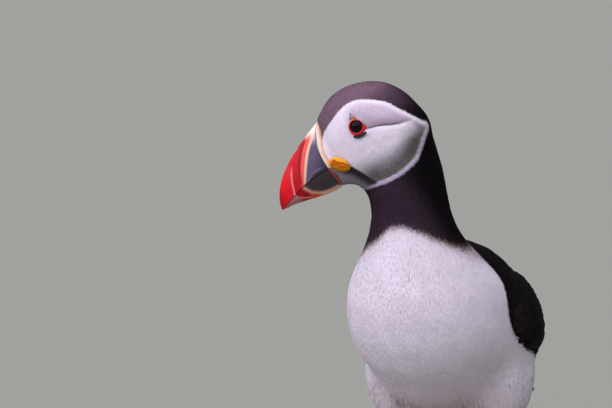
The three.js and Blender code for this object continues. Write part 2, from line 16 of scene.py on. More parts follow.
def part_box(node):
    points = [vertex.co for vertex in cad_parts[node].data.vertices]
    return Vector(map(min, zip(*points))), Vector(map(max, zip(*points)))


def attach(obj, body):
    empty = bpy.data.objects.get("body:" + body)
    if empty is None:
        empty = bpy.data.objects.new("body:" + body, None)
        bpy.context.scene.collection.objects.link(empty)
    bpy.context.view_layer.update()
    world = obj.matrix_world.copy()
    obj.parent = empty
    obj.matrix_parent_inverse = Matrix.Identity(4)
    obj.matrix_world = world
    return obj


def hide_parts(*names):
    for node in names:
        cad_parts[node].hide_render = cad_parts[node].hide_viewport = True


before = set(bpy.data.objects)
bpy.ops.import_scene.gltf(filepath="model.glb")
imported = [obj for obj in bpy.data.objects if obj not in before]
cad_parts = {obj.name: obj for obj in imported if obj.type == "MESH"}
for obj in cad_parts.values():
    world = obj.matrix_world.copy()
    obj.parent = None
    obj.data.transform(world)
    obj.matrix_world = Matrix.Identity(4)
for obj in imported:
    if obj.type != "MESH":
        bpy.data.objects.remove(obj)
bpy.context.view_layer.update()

bl_info = {
    "name": "Atlantic puffin",
    "version": (1, 0, 0),
    "blender": (4, 5, 0),
    "location": "3D View > Sidebar > Puffin",
    "description": "Builds the skin, feathers, bill, eyes and feet of a life-size puffin model",
    "category": "Object",
}

MM = 0.001

# ---- The bird's own frame: millimetres, x = 0 in the middle of the trunk, breast to -Y, floor at z = 0 ----

TAIL_END = 123.9  # the tail's end lies this far behind the trunk's middle
TAIL_LOW, TAIL_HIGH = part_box("tail")
SHIFT = np.array([(TAIL_LOW.x + TAIL_HIGH.x) / 2, TAIL_HIGH.y - TAIL_END * MM, 0]) / MM

HEAD_TURN = math.radians(70)
HEAD_PITCH = math.radians(28)
HEAD_AT = np.array([-26.2, -52.4, 183.7])  # midway between the eyes
# The head's own axes in columns: forward along the bill, out to the bird's left, and up.
HEAD_AXES = np.array(Matrix.Rotation(-math.pi / 2 - HEAD_TURN, 3, "Z") @ Matrix.Rotation(HEAD_PITCH, 3, "Y"))

EYE_AT = np.array([-0.05, 14.3, 0.76])  # the left eyeball's centre, in the head's frame
EYE_LOOK = np.array([0.18, 1.0, 0.1]) / np.linalg.norm([0.18, 1.0, 0.1])
EYE_RADIUS = 4.75
LID_INNER = 3.05  # the lid's inner radius
LID_LIFT = 3.95  # how far in front of the eyeball's centre the lid lies
RING_RADIUS = 3.5  # the ring that the lid is shaped from
# The lid's width by the angle round the eye, in degrees from straight ahead and upwards.
LID_WIDTH = [
    (-180, 0.6), (-170, 1.0), (-158, 1.6), (-148, 2.2), (-138, 1.95), (-125, 1.5), (-105, 1.2), (-85, 1.15),
    (-62, 1.2), (-35, 1.15), (-15, 0.9), (14, 0.68), (44, 0.75), (68, 0.85), (87, 0.6), (111, 0.42),
    (143, 0.4), (175, 0.5), (180, 0.6),
]
SPUR_ANGLE, SPUR_HEIGHT = 107, 2.3  # the lid's point above the eye
UNDER_PLATE = [
    (2.9, -3.3), (2.8, -5.0), (1.5, -5.9), (-0.5, -6.2), (-2.5, -6.0), (-3.9, -5.4), (-4.6, -4.2),
    (-2.9, -3.0), (-0.1, -3.0),
]

FLESH = ("head", "neck", "trunk", "wing_left", "wing_right", "thigh_left", "thigh_right")
SIDES = (("left", 1), ("right", -1))

# Stations along the spine from the rump to the nape, which give the way that the feathers lie.
SPINE = np.array([
    (0, 100, 50), (0, 74, 62), (0, 50, 72), (0, 22, 81), (0, -5, 89), (0, -24, 98), (0, -35, 110),
    (-0.5, -40, 122), (-1.5, -42, 136), (-3, -44, 150), (-5.5, -45.5, 162), (-9, -46.5, 173),
])
# The folded wing from its bend to its tip: place, lean inwards in degrees, half its height and thickness.
WING = np.array([
    (36.5, -17, 92.5, 18, 7, 3), (37, -11, 91.5, 18, 15, 6), (37.3, 0, 90.5, 18, 20, 9),
    (35.8, 16, 88, 20, 20.5, 10.5), (30, 34, 82.5, 24, 18.5, 9.5), (22, 54, 72.5, 28, 15.5, 8),
    (15.5, 74, 60.5, 32, 12, 6), (12, 88, 52, 36, 7, 4), (11, 93, 49, 36, 3, 2),
])
# The folded flight feathers below and behind it, likewise.
FLIGHT = np.array([
    (31, 26, 69, 12, 5, 2.6), (27.5, 40, 64, 16, 7.5, 3.2), (19, 62, 56, 22, 9, 3.2),
    (13, 84, 49, 28, 8, 2.6), (10.5, 102, 45.5, 32, 4.8, 1.7), (9, 113, 43, 34, 1.8, 0.8),
])

# The plane that parts the head from the neck, in the head's frame.
THROAT_AT = np.array([-10, 0, -29])
THROAT_UP = np.array([0.12, 0, 1]) / np.linalg.norm([0.12, 0, 1])

# ---- Markings, as outlines in side view: (forward, up) in the head's frame ----

FACE = [
    (26, 2.4), (18.6, 2.6), (16.1, 5), (13.5, 6.8), (11.5, 7.8), (7.5, 10), (4, 11.4), (0.8, 12.3),
    (-2.1, 12.5), (-4.7, 12.2), (-7, 11.5), (-11.3, 9.2), (-15.4, 6.6), (-19.1, 3.2), (-21, -0.2),
    (-22.5, -2.2), (-24.2, -4.7), (-26.7, -8.7), (-28.4, -11.2), (-30, -13.3), (-31, -15.8), (-28.6, -17.8),
    (-26.4, -19.7), (-22.8, -23.3), (-19.9, -25.9), (-17.6, -27.5), (-13.9, -28.9), (-10, -29.7),
    (-6.3, -30.3), (-2, -30.5), (2, -30.2), (5.9, -29.7), (9.1, -29.5), (14, -29), (26, -27),
]
CREASE = [  # the fold behind the eye
    (-3.6, -1.9), (-5.1, -2.4), (-8.1, -3.1), (-11, -4), (-15, -5.9), (-18.6, -7.1), (-21.6, -7.9),
    (-26.2, -9.3),
]
# The lower edge of the grey above the fold.
FACE_GREY_EDGE = [
    (-31, -12), (-26.2, -9.3), (-18.6, -7.1), (-15, -5.9), (-8.1, -3.1), (-3.6, -1.9), (1, 2.5), (7, 8),
]
# The olive wash and painted shade of the cheek reach their rear corner by this line.
CHEEK_REAR = [(-25.8, -10.5), (-26.2, -15)]  # the dark at the cheek's rear corner
# The rear edge of the stripe below the gape.
GAPE_STRIPE = [(13.2, -14.4), (11.5, -15.9), (9.5, -19), (7.1, -22.9), (5.2, -26.6), (4, -28.8)]
ROSETTE = [
    (19.3, -7.5), (17.7, -7.4), (15.8, -8.3), (14.2, -10.1), (12.9, -12.3), (12.1, -15), (12.6, -15.9),
    (15, -16.4), (17.4, -16.2), (19.8, -15.1), (21.2, -13), (21.9, -11.9),
]
# The rear edge of the bill, from the forehead to the chin, where the plumage ends.
RIDGE_REAR = [
    (16, 12), (16.4, 10), (16.4, 8.7), (17.2, 5.3), (18.4, 2), (19.4, -0.4), (20, -3.5), (20, -6.4),
    (20, -9.1), (20.6, -13.6), (19.8, -16), (19.4, -19.2), (19.9, -24),
]
# The lower edge of the black bib by distance from its peak, and of the black sides by y.
BIB_PEAK = -1.4
BIB_EDGE = [
    (0, 135.4), (5, 134.4), (11, 131.8), (13.6, 130.4), (19.5, 127.1), (26.7, 121.9), (32.2, 115.8),
    (36.9, 110.6), (41, 107), (43.3, 100),
]
SIDE_EDGE = [
    (-26.2, 113.2), (-22.4, 107), (-21.6, 98), (-21, 91), (-17, 83.5), (-11.3, 77.8), (-1.3, 72.3), (5, 70),
    (16, 66), (30, 61), (50, 54.5), (70, 50), (90, 49),
]
# How much of the crown's pale tone shows, by height on the head: its own greyer tone, with painted sheen of
# the light from above making the top palest.
CROWN_TONE_AND_SHEEN = [(-9, 0), (-3, 0.08), (0, 0.18), (6, 0.34), (10, 0.55), (13, 0.95)]


def colour_property(title, description, default):
    return FloatVectorProperty(
        name=title, description=description, subtype="COLOR", size=3, min=0, max=1, default=default)


class PlumageSettings(bpy.types.PropertyGroup):
    """Colours and sizes of the feathers."""

    white: colour_property("White", "Breast and belly", (0.75, 0.69, 0.80))
    # Soiled plumage low on the belly, also standing in for painted shade that darkens the lower body.
    soiled_and_painted_shade: colour_property("Soiled", "Lowest belly and undertail", (0.56, 0.51, 0.55))
    stained: colour_property("Stained", "The soft edge of the bib", (0.30, 0.20, 0.21))
    face_white: colour_property("Face white", "The lower face", (0.90, 0.83, 0.96))
    face_grey: colour_property("Face grey", "The face above the fold behind the eye", (0.44, 0.325, 0.45))
    # The cheek's own olive wash, darkened further to stand in for painted shade under the cheek's bulge.
    cheek_wash_and_painted_shade: colour_property("Cheek olive", "The shade low on the cheek", (0.105, 0.090, 0.088))
    # A dark grey for the stripe below the gape, partly painted shadow under the cheek, and for the painted
    # shade along the fold behind the eye.
    gape_grey_and_painted_shade: colour_property("Gape grey", "The stripe from the gape to the throat", (0.030, 0.024, 0.031))
    rim: colour_property("Rim", "The pale edge of the cheek", (0.47, 0.41, 0.58))
    chin_grey: colour_property("Chin grey", "The chin below the bill", (0.27, 0.245, 0.29))
    # Forehead and crown: their own greyer tone, made paler to stand in for painted sheen of the light from
    # above.
    crown_and_sheen: colour_property("Crown", "Forehead and crown", (0.19, 0.115, 0.165))
    collar: colour_property("Collar", "Neck and bib", (0.034, 0.020, 0.033))
    black: colour_property("Black", "Back, wings and tail", (0.0045, 0.0032, 0.0042))
    brown: colour_property("Brown", "Worn edges of the black feathers", (0.050, 0.034, 0.030))
    head_depth: FloatProperty(
        name="Head coat depth", description="How deep the coat is on the head", subtype="DISTANCE",
        unit="LENGTH", default=0.55 * MM, min=0.2 * MM, max=3 * MM)
    body_depth: FloatProperty(
        name="Body coat depth", description="How deep the coat is on breast and belly", subtype="DISTANCE",
        unit="LENGTH", default=0.85 * MM, min=0.4 * MM, max=6 * MM)
    layers: FloatProperty(
        name="Layers", description="How many tufts lie over each other", default=7.0, min=0.5, max=12)
    seed: IntProperty(name="Seed", description="Starts the random numbers of the coat", default=7)


class HornSettings(bpy.types.PropertyGroup):
    """Colours of the bill, the face's bare parts and the feet."""

    red: colour_property("Red", "Front of the bill", (0.68, 0.006, 0.016))
    slate: colour_property("Slate", "Plate at the base of the bill", (0.105, 0.080, 0.145))
    lower_slate: colour_property("Lower slate", "Plate of the lower mandible", (0.042, 0.033, 0.040))
    cream: colour_property("Cream", "Ridge and pale bands", (0.74, 0.53, 0.41))
    yellow: colour_property("Yellow", "Rosette at the gape", (0.97, 0.41, 0.006))
    orange: colour_property("Orange", "Legs and feet", (0.76, 0.130, 0.018))
    eyelid: colour_property("Eyelid", "Ring round the eye", (0.60, 0.018, 0.014))
    plate: colour_property("Plate", "Horny plate below the eye", (0.022, 0.018, 0.024))
    brow: colour_property("Brow plate", "Horny plate above the eye", (0.26, 0.23, 0.30))
    claw: colour_property("Claw", "Claws", (0.016, 0.013, 0.013))


class StudioSettings(bpy.types.PropertyGroup):
    """Floor, lamps and camera."""

    floor: colour_property("Floor", "Colour of the plain floor", (0.24, 0.255, 0.22))
    key_power: FloatProperty(
        name="Key lamp", description="Strength of the broad main light", default=4.2, min=0)
    fill_power: FloatProperty(
        name="Fill lamp", description="Power of the weak lamp", default=1.0, min=0, unit="POWER")
    sky: FloatProperty(name="Sky", description="Strength of the even light all round", default=0.24, min=0)
    lens: FloatProperty(name="Lens", description="Focal length", default=300, min=20, unit="CAMERA")


# ---- Numbers along curves and outlines ----


def smooth(low, high, value):
    """0 below low and 1 above high, with a soft step between."""
    share = np.clip((np.asarray(value, float) - low) / (high - low), 0, 1)
    return share * share * (3 - 2 * share)


def bell(value, width):
    """1 where the value is 0, fading away on both sides over the width."""
    return np.exp(-((value / width) ** 2))


def read_off(value, table):
    """The second column of a table at places along its first."""
    return np.interp(value, *np.array(table, float).T)


def mixed(first, second, share):
    """Rows mixed by a share for each."""
    share = np.asarray(share, float)[:, None]
    return np.asarray(first) * (1 - share) + np.asarray(second) * share


def shade(colour, share):
    """A darker shade of a colour."""
    return tuple(share * c for c in colour)


def unit(vectors):
    return vectors / np.maximum(np.linalg.norm(vectors, axis=-1, keepdims=True), 1e-9)


def along_curve(table, count):
    """A smooth curve through a table's rows, as count rows evenly spaced by their first three columns."""
    table = np.asarray(table, float)
    steps = np.r_[0, np.cumsum(np.linalg.norm(np.diff(table[:, :3], axis=0), axis=1))]
    slopes = np.gradient(table, steps, axis=0)
    at = np.linspace(0, steps[-1], count)
    k = np.clip(np.searchsorted(steps, at, side="right") - 1, 0, len(steps) - 2)
    gap = (steps[k + 1] - steps[k])[:, None]
    t = (at - steps[k])[:, None] / gap
    return ((2 * t**3 - 3 * t**2 + 1) * table[k] + (t**3 - 2 * t**2 + t) * gap * slopes[k]
            + (3 * t**2 - 2 * t**3) * table[k + 1] + (t**3 - t**2) * gap * slopes[k + 1])


def bezier(handles, share):
    """Points on a Bezier curve given by its three or four handles."""
    points = [np.asarray(h, float)[None, :] for h in handles]
    t = np.asarray(share, float)[:, None]
    while len(points) > 1:
        points = [a * (1 - t) + b * t for a, b in zip(points, points[1:])]
    return points[0]


def stretch_distance(points, a, b):
    """How far points in a plane lie from the straight stretch between two places, and the share along it."""
    t = np.clip((points - a) @ (b - a) / ((b - a) @ (b - a)), 0, 1)
    return np.linalg.norm(points - a - t[:, None] * (b - a), axis=1), t


def line_distance(points, line):
    """How far points in a plane lie from a line through several places, and how far along it as a share."""
    best = np.full(len(points), np.inf)
    share = np.zeros(len(points))
    corners = np.asarray(line, float)
    for i, (a, b) in enumerate(zip(corners, corners[1:])):
        away, t = stretch_distance(points, a, b)
        share = np.where(away < best, (i + t) / (len(corners) - 1), share)
        best = np.minimum(best, away)
    return best, share


def depth_inside(points, outline):
    """Distance to a closed outline, positive inside it."""
    ring = list(outline) + [outline[0]]
    odd = np.zeros(len(points), bool)
    for (ax, ay), (bx, by) in zip(ring, ring[1:]):
        if ay != by:
            crosses = (ay > points[:, 1]) != (by > points[:, 1])
            odd ^= crosses & (points[:, 0] < ax + (points[:, 1] - ay) * (bx - ax) / (by - ay))
    away = line_distance(points, ring)[0]
    return np.where(odd, away, -away)


def near_line(points, line, width):
    """1 on a line in side view, fading away over its width."""
    return bell(line_distance(points, line)[0], width)


def mottle(points, size, seed):
    """Soft blotches between -1 and 1, of about the given size in millimetres."""
    rng = np.random.default_rng(seed)
    waves = rng.normal(size=(9, 3)) * (2.2 / size)
    phases = rng.uniform(0, 2 * math.pi, 9)
    return np.sin(points @ waves.T + phases).mean(axis=1) * 1.6


def to_head(points):
    """Points of the bird's frame in the head's frame: forward, left and up."""
    return (points - HEAD_AT) @ HEAD_AXES


def from_head(points):
    return points @ HEAD_AXES.T + HEAD_AT


def side_view(head_points):
    """The (forward, up) places of the head's markings."""
    return head_points[:, [0, 2]]


def beyond_line(points, line):
    """Distance to a line in side view, positive on its left as it is drawn."""
    corners = np.asarray(line, float)
    best = np.full(len(points), np.inf)
    sign = np.ones(len(points))
    for a, b in zip(corners, corners[1:]):
        away, _ = stretch_distance(points, a, b)
        cross = (b - a)[0] * (points[:, 1] - a[1]) - (b - a)[1] * (points[:, 0] - a[0])
        sign = np.where(away < best, np.where(cross < 0, -1, 1), sign)
        best = np.minimum(best, away)
    return best * sign


# ---- What lies where on the bird ----


def above_throat(points):
    """Height above the plane that parts the head from the neck."""
    return (to_head(points) - THROAT_AT) @ THROAT_UP


def bib_height(points):
    """Height of the black plumage's lower edge at each point."""
    x, y, _ = points.T
    peak = BIB_PEAK * smooth(36, 14, np.abs(x))
    front = read_off(np.abs(x - peak), BIB_EDGE)
    front = front - 3.2 * smooth(-6, -16, x) * smooth(-40, -28, x)
    side = read_off(y, SIDE_EDGE)
    side = side - 16 * smooth(9, 13, np.abs(x)) * smooth(58, 72, y)  # wing tips are black
    return front + (side - front) * smooth(-30, -22, y)


def dark_colour(points, seen):
    """Crown, collar and back."""
    paint = bpy.context.scene.puffin_plumage
    forward, up = seen.T
    z = points[:, 2]
    # Pale on the forehead and the crown, it darkens down the back of the head; the paleness rising to the top
    # is partly painted sheen of the light from above.
    crown_and_sheen = np.maximum(read_off(up, CROWN_TONE_AND_SHEEN), smooth(-20, -6, forward) * smooth(0, 5, up))
    crown_and_sheen = crown_and_sheen * smooth(-8, 2, above_throat(points))
    # The throat's side of the neck is browner than the nape, and it turns with the head.
    axis = np.stack([np.interp(z, SPINE[4:, 2], SPINE[4:, k]) for k in (0, 1)], axis=1)
    turn = smooth(125, 175, z)[:, None]
    front = unit(np.array([-0.35, -0.94]) * (1 - turn) + np.array([-0.94, -0.34]) * turn)
    ahead = ((points[:, :2] - axis) * front).sum(axis=1)
    dark = mixed(paint.black, paint.collar, smooth(-7, 14, ahead) * smooth(98, 122, z))
    return mixed(dark, paint.crown_and_sheen, crown_and_sheen)


def face_colour(points, seen, inside):
    """The pale face: lilac-grey above the fold, an olive wash low on the cheek deepened with painted shade, a
    dark stripe that is partly painted shadow, the chin, and painted shade along the fold.
    """
    paint = bpy.context.scene.puffin_plumage
    forward, up = seen.T
    blot = mottle(points, 4, 3)
    over = up - read_off(forward, FACE_GREY_EDGE)
    upper = smooth(-0.5, 0.5, over) * smooth(8, -4, forward) * smooth(0.3, 3.0, inside)
    deeper = 0.55 + 0.45 * smooth(9, 0.5, over) * smooth(-2, -10, forward)
    tone = mixed(paint.face_white, paint.face_grey, upper * deeper * (0.92 + 0.08 * blot))
    # The olive wash, deepened with painted shade under the cheek's bulge, is strongest just inside the pale
    # rim and thins out towards the eye.
    ring = smooth(0.9, 2.6, inside) * smooth(16.5, 5.0, inside)
    window = smooth(-8, -18, up) * smooth(13, 5, forward - 0.25 * (up + 22))
    tone = mixed(tone, paint.cheek_wash_and_painted_shade, 0.97 * ring * window)
    # More of the wash and painted shade at the cheek's rear corner.
    rear = near_line(seen, CHEEK_REAR, 2.0)
    tone = mixed(tone, paint.cheek_wash_and_painted_shade, 0.45 * rear * smooth(0.8, 2, inside))
    # The dark stripe below the gape: partly a dark grey mark, partly painted shadow under the cheek's bulge.
    ahead = beyond_line(seen, GAPE_STRIPE)
    stripe = smooth(-0.8, 0.3, ahead) * smooth(6.2, 1.8, ahead)
    low = smooth(-12.5, -15, up)
    tone = mixed(tone, paint.chin_grey, smooth(-0.3, 1.2, ahead) * low)
    tone = mixed(tone, paint.gape_grey_and_painted_shade, 0.97 * stripe * low)
    rim = smooth(1.9, 0.8, inside) * smooth(12, 7, forward) * smooth(-13, -17, up)
    tone = mixed(tone, paint.rim, rim)
    # The dark line along the fold behind the eye is painted shade in the fold.
    away, share = line_distance(seen, CREASE)
    line = bell(away, 0.42 + 0.25 * share) * smooth(1, 0.6, share)
    return mixed(tone, paint.gape_grey_and_painted_shade, 0.85 * line)


def plumage_colour(points, ragged=0.0):
    """The plumage's colour at points of the bird's frame. Ragged moves each point's markings a little."""
    paint = bpy.context.scene.puffin_plumage
    head = to_head(points)
    seen = side_view(head)
    x, y, z = points.T
    height = above_throat(points)
    white = np.array(paint.white) * (1 + 0.04 * mottle(points, 9, 3)[:, None])
    white = white * (1 + 0.045 * mottle(points, 11, 31)[:, None])
    # The lower body darkens towards the bottom, most between the legs: partly soiled plumage, partly painted
    # shade.
    soiled_and_painted_shade = np.maximum(0.35 * smooth(88, 50, z), smooth(58, 40, z) * smooth(30, 16, np.abs(x)))
    white = mixed(white, paint.soiled_and_painted_shade, soiled_and_painted_shade * (y < 40))
    under = bib_height(points) - z + 1.3 * ragged
    colour = mixed(dark_colour(points, seen), white, smooth(-0.9, 0.9, under) * (height < 5))
    stained = 0.55 * bell(under - 0.3, 1.3) * smooth(110, 120, z) * (height < 0)
    colour = mixed(colour, paint.stained, stained)
    inside = depth_inside(seen, FACE) + 0.35 * ragged
    face = smooth(-0.3, 0.3, inside) * (height > -7)
    # The black of the nape runs up the middle between the two sides of the face.
    face = face * (1 - smooth(-17, -22, seen[:, 0]) * smooth(7.5, 5.5, np.abs(head[:, 1]) + 0.5 * ragged))
    return np.clip(mixed(colour, face_colour(points, seen, inside), face), 0, 1)


def lie_of_coat(points, normals):
    """The way that the feathers point, square to the surface."""
    apart = ((points[:, None, :] - SPINE[None]) ** 2).sum(axis=2)
    weight = np.exp(-(apart - apart.min(axis=1, keepdims=True)) / (2 * 13.0**2))
    tangents = unit(-np.gradient(SPINE, axis=0))
    flow = unit((weight / weight.sum(axis=1, keepdims=True)) @ tangents)
    head = to_head(points)
    back, down = -HEAD_AXES[:, 0], -HEAD_AXES[:, 2]
    turned = 0.20 + 1.6 * smooth(-6, -30, head[:, 0]) + 0.35 * smooth(-8, -26, head[:, 2])
    head_flow = unit(back[None, :] + turned[:, None] * down[None, :])
    flow = mixed(flow, head_flow, smooth(-12, 4, above_throat(points)))
    flow = mixed(flow, np.array([0, 0.3, -1.0]), low_belly(points))
    flow = flow - (flow * normals).sum(axis=1, keepdims=True) * normals
    return unit(flow)


def low_belly(points):
    """1 on the thighs and on the belly between them, where the loose feathers hang, fading to 0 above."""
    return smooth(72, 50, points[:, 2]) * smooth(44, 30, np.abs(points[:, 1] - 12))


def coat_depth(points):
    """How far the skin lies inside the solids, which is how deep the coat over it is."""
    paint = bpy.context.scene.puffin_plumage
    head = to_head(points)
    on_head = smooth(-14, 4, above_throat(points))
    depth = paint.body_depth / MM * (1 - 0.2 * smooth(112, 140, points[:, 2]))
    depth = depth + (paint.head_depth / MM - depth) * on_head
    depth = depth * (1 - 0.55 * smooth(9, 15, head[:, 0]) * on_head)
    depth = depth * (1 + 0.5 * low_belly(points) * smooth(36, 46, points[:, 2]))
    return depth * (1 - 0.5 * smooth(60, 90, points[:, 1]))


def ridge_rear(up):
    """How far forward the plumage reaches at each height on the head."""
    return read_off(up, np.array(RIDGE_REAR)[::-1, ::-1])


def from_eye(head_points):
    """Places in the eye's own frame on either side of the head: ahead, above and out."""
    mirrored = head_points * np.where(head_points[:, 1:2] < 0, [[1, -1, 1]], [[1, 1, 1]])
    ahead = unit(np.array([1.0, 0, 0]) - EYE_LOOK[0] * EYE_LOOK)
    above = np.cross(ahead, EYE_LOOK)
    above = above * np.sign(above[2])
    return (mirrored - EYE_AT) @ np.stack([ahead, above, EYE_LOOK], axis=1)


def lid_width(angle):
    """How wide the lid's ring is, by the angle round the eye from straight ahead, in radians."""
    turns = np.degrees(np.angle(np.exp(1j * np.asarray(angle))))
    return read_off(turns, LID_WIDTH) + SPUR_HEIGHT * bell(turns - SPUR_ANGLE, 8.5)


def is_bare(points):
    """Where the rosettes, the eyes, their lids and the horny plates leave no plumage."""
    head = to_head(points)
    seen = side_view(head)
    eye = from_eye(head)
    away = np.hypot(eye[:, 0], eye[:, 1])
    lid = away < LID_INNER - 0.15 + lid_width(np.arctan2(eye[:, 1], eye[:, 0]))
    plate = depth_inside(eye[:, :2], UNDER_PLATE) > 0
    beside = np.abs(head[:, 1]) > 5
    return beside & (((lid | plate) & (eye[:, 2] > -3)) | (depth_inside(seen, ROSETTE) > 0.25))


# ---- Meshes ----


def deselect():
    if bpy.context.object and bpy.context.object.mode != "OBJECT":
        bpy.ops.object.mode_set(mode="OBJECT")
    bpy.ops.object.select_all(action="DESELECT")


def choose(obj):
    deselect()
    obj.select_set(True)
    bpy.context.view_layer.objects.active = obj


def on_all(obj, operator, **settings):
    """Uses an operator of edit mode on the whole of a mesh."""
    choose(obj)
    bpy.ops.object.mode_set(mode="EDIT")
    bpy.ops.mesh.select_all(action="SELECT")
    operator(**settings)
    bpy.ops.object.mode_set(mode="OBJECT")


def rows_of(items, key, width=3, kind=float):
    """What a mesh keeps for each of its items, as rows."""
    values = np.empty(len(items) * width, kind)
    items.foreach_get(key, values)
    return values.reshape(-1, width)


def corners_of(mesh):
    """A mesh's vertices in the bird's frame."""
    return rows_of(mesh.vertices, "co") / MM - SHIFT


def normals_of(mesh):
    return rows_of(mesh.vertices, "normal")


def seen_corners(mesh):
    """A mesh's vertices in side view of the head."""
    return side_view(to_head(corners_of(mesh)))


def set_corners(mesh, points):
    mesh.vertices.foreach_set("co", ((points + SHIFT) * MM).ravel())
    mesh.update()


def new_object(title, data):
    """A new object, in the scene."""
    obj = bpy.data.objects.new(title, data)
    bpy.context.collection.objects.link(obj)
    return obj


def mesh_object(title, points, faces):
    """A new object from points of the bird's frame and faces that all have as many corners."""
    mesh = bpy.data.meshes.new(title)
    faces = np.asarray(faces, np.int32)
    mesh.vertices.add(len(points))
    mesh.vertices.foreach_set("co", ((np.asarray(points) + SHIFT) * MM).ravel())
    mesh.loops.add(faces.size)
    mesh.loops.foreach_set("vertex_index", faces.ravel())
    mesh.polygons.add(len(faces))
    mesh.polygons.foreach_set("loop_start", np.arange(0, faces.size, faces.shape[1], dtype=np.int32))
    mesh.update(calc_edges=True)
    return new_object(title, mesh)


def write_values(mesh, title, values):
    """Keeps a number or a colour for each vertex, for the materials."""
    values = np.asarray(values, np.float32)
    if values.ndim == 1:
        mesh.attributes.new(title, "FLOAT", "POINT").data.foreach_set("value", values)
    else:
        rgba = np.ones((len(values), 4), np.float32)
        rgba[:, :3] = values
        mesh.attributes.new(title, "FLOAT_COLOR", "POINT").data.foreach_set("color", rgba.ravel())


def write_bake_map(mesh, faces, spots):
    """Adds the map for baking, from the unwrapped place of each vertex."""
    mesh.uv_layers.new(name="OFBake").data.foreach_set("uv", spots[faces.ravel()].astype(np.float32).ravel())


def merged_copy(nodes, title):
    """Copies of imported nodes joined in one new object, with their loose triangles merged."""
    deselect()
    copies = []
    for name in nodes:
        copy = new_object(title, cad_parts[name].data.copy())
        copy.select_set(True)
        copies.append(copy)
    bpy.context.view_layer.objects.active = copies[0]
    if len(copies) > 1:
        bpy.ops.object.join()
    bpy.ops.mesh.customdata_custom_splitnormals_clear()
    on_all(copies[0], bpy.ops.mesh.remove_doubles, threshold=0.01 * MM)
    copies[0].data.materials.clear()
    return copies[0]


def apply_modifier(obj, kind, **settings):
    choose(obj)
    modifier = obj.modifiers.new(kind.title(), kind)
    for key, value in settings.items():
        setattr(modifier, key, value)
    bpy.ops.object.modifier_apply(modifier=modifier.name)


def one_surface(obj, swell, voxel, passes):
    """Swells a copy a little, joins its shells in one and smooths away its flat faces."""
    if swell:
        apply_modifier(obj, "DISPLACE", strength=swell * MM, mid_level=0.0, direction="NORMAL")
    apply_modifier(obj, "REMESH", mode="VOXEL", voxel_size=voxel * MM, adaptivity=0.0)
    apply_modifier(obj, "SMOOTH", factor=0.5, iterations=passes)


def spread(mesh, values, passes):
    """Values of each vertex evened out with its neighbours'."""
    a, b = rows_of(mesh.edges, "vertices", 2, np.int32).T
    count = np.bincount(np.r_[a, b], minlength=len(values))
    for _ in range(passes):
        total = np.bincount(np.r_[a, b], weights=np.r_[values[b], values[a]], minlength=len(values))
        values = 0.5 * values + 0.5 * total / np.maximum(count, 1)
    return values


def finish_piece(obj, material, replaced=(), angle=None):
    """Gives a piece its material and its body."""
    obj.data.materials.clear()
    obj.data.materials.append(material)
    choose(obj)
    if angle is None:
        bpy.ops.object.shade_smooth()
    else:
        bpy.ops.object.shade_smooth_by_angle(angle=math.radians(angle))
    if replaced:
        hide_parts(*replaced)
    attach(obj, "root")
    return obj


# ---- Materials ----


def feed(tree, made, inputs):
    """Gives a node's inputs values or the outputs of other nodes."""
    for key, value in inputs.items():
        if isinstance(value, bpy.types.NodeSocket):
            tree.links.new(value, made.inputs[key])
        else:
            made.inputs[key].default_value = value


def node(tree, kind, inputs=None, **settings):
    """A shader node with its settings and its inputs."""
    made = tree.nodes.new(kind)
    for key, value in settings.items():
        setattr(made, key, value)
    feed(tree, made, inputs or {})
    return made


def worked_out(tree, operation, *values, **settings):
    """The result of a math node."""
    return node(tree, "ShaderNodeMath", dict(enumerate(values)), operation=operation, **settings).outputs[0]


def new_group(title, inputs, outputs):
    """A shader node group with named sockets; each input is (name, kind, default)."""
    group = bpy.data.node_groups.new(title, "ShaderNodeTree")
    for name, kind, default in inputs:
        socket = group.interface.new_socket(name, in_out="INPUT", socket_type=kind)
        socket.default_value = default
    for name, kind in outputs:
        group.interface.new_socket(name, in_out="OUTPUT", socket_type=kind)
    return group, node(group, "NodeGroupInput"), node(group, "NodeGroupOutput")


def fine_grain_group():
    """Specks and soft blotches: a colour varied by both, a roughness and a bumped normal."""
    if "Fine grain" in bpy.data.node_groups:
        return bpy.data.node_groups["Fine grain"]
    group, given, out = new_group(
        "Fine grain",
        [("Color", "NodeSocketColor", (0.5, 0.5, 0.5, 1)), ("Grain size", "NodeSocketFloat", 1.0),
         ("Blotch size", "NodeSocketFloat", 5.0), ("Variation", "NodeSocketFloat", 0.15),
         ("Roughness", "NodeSocketFloat", 0.4), ("Bump", "NodeSocketFloat", 0.2)],
        [("Color", "NodeSocketColor"), ("Roughness", "NodeSocketFloat"), ("Normal", "NodeSocketVector")])
    colour, grain, blotch, variation, roughness, bump = given.outputs[:6]
    place = node(group, "ShaderNodeTexCoord").outputs["Object"]
    per_metre = 1 / MM
    fine = worked_out(group, "DIVIDE", per_metre, grain)
    broad = worked_out(group, "DIVIDE", per_metre, blotch)
    specks = node(group, "ShaderNodeTexNoise", {"Vector": place, "Scale": fine, "Detail": 3.0}).outputs[0]
    blots = node(group, "ShaderNodeTexNoise", {"Vector": place, "Scale": broad, "Detail": 2.0}).outputs[0]
    away = worked_out(group, "SUBTRACT", worked_out(group, "ADD", specks, blots), 1.0)
    scaled = worked_out(group, "MULTIPLY", away, variation)
    value = worked_out(group, "ADD", scaled, 1.0)
    varied = node(group, "ShaderNodeHueSaturation", {"Color": colour, "Value": value})
    rough = worked_out(group, "SUBTRACT", roughness, scaled, use_clamp=True)
    bumped = node(group, "ShaderNodeBump", {"Strength": bump, "Distance": 0.3 * MM, "Height": specks})
    feed(group, out, {
        "Color": varied.outputs["Color"], "Roughness": rough, "Normal": bumped.outputs["Normal"]})
    return group


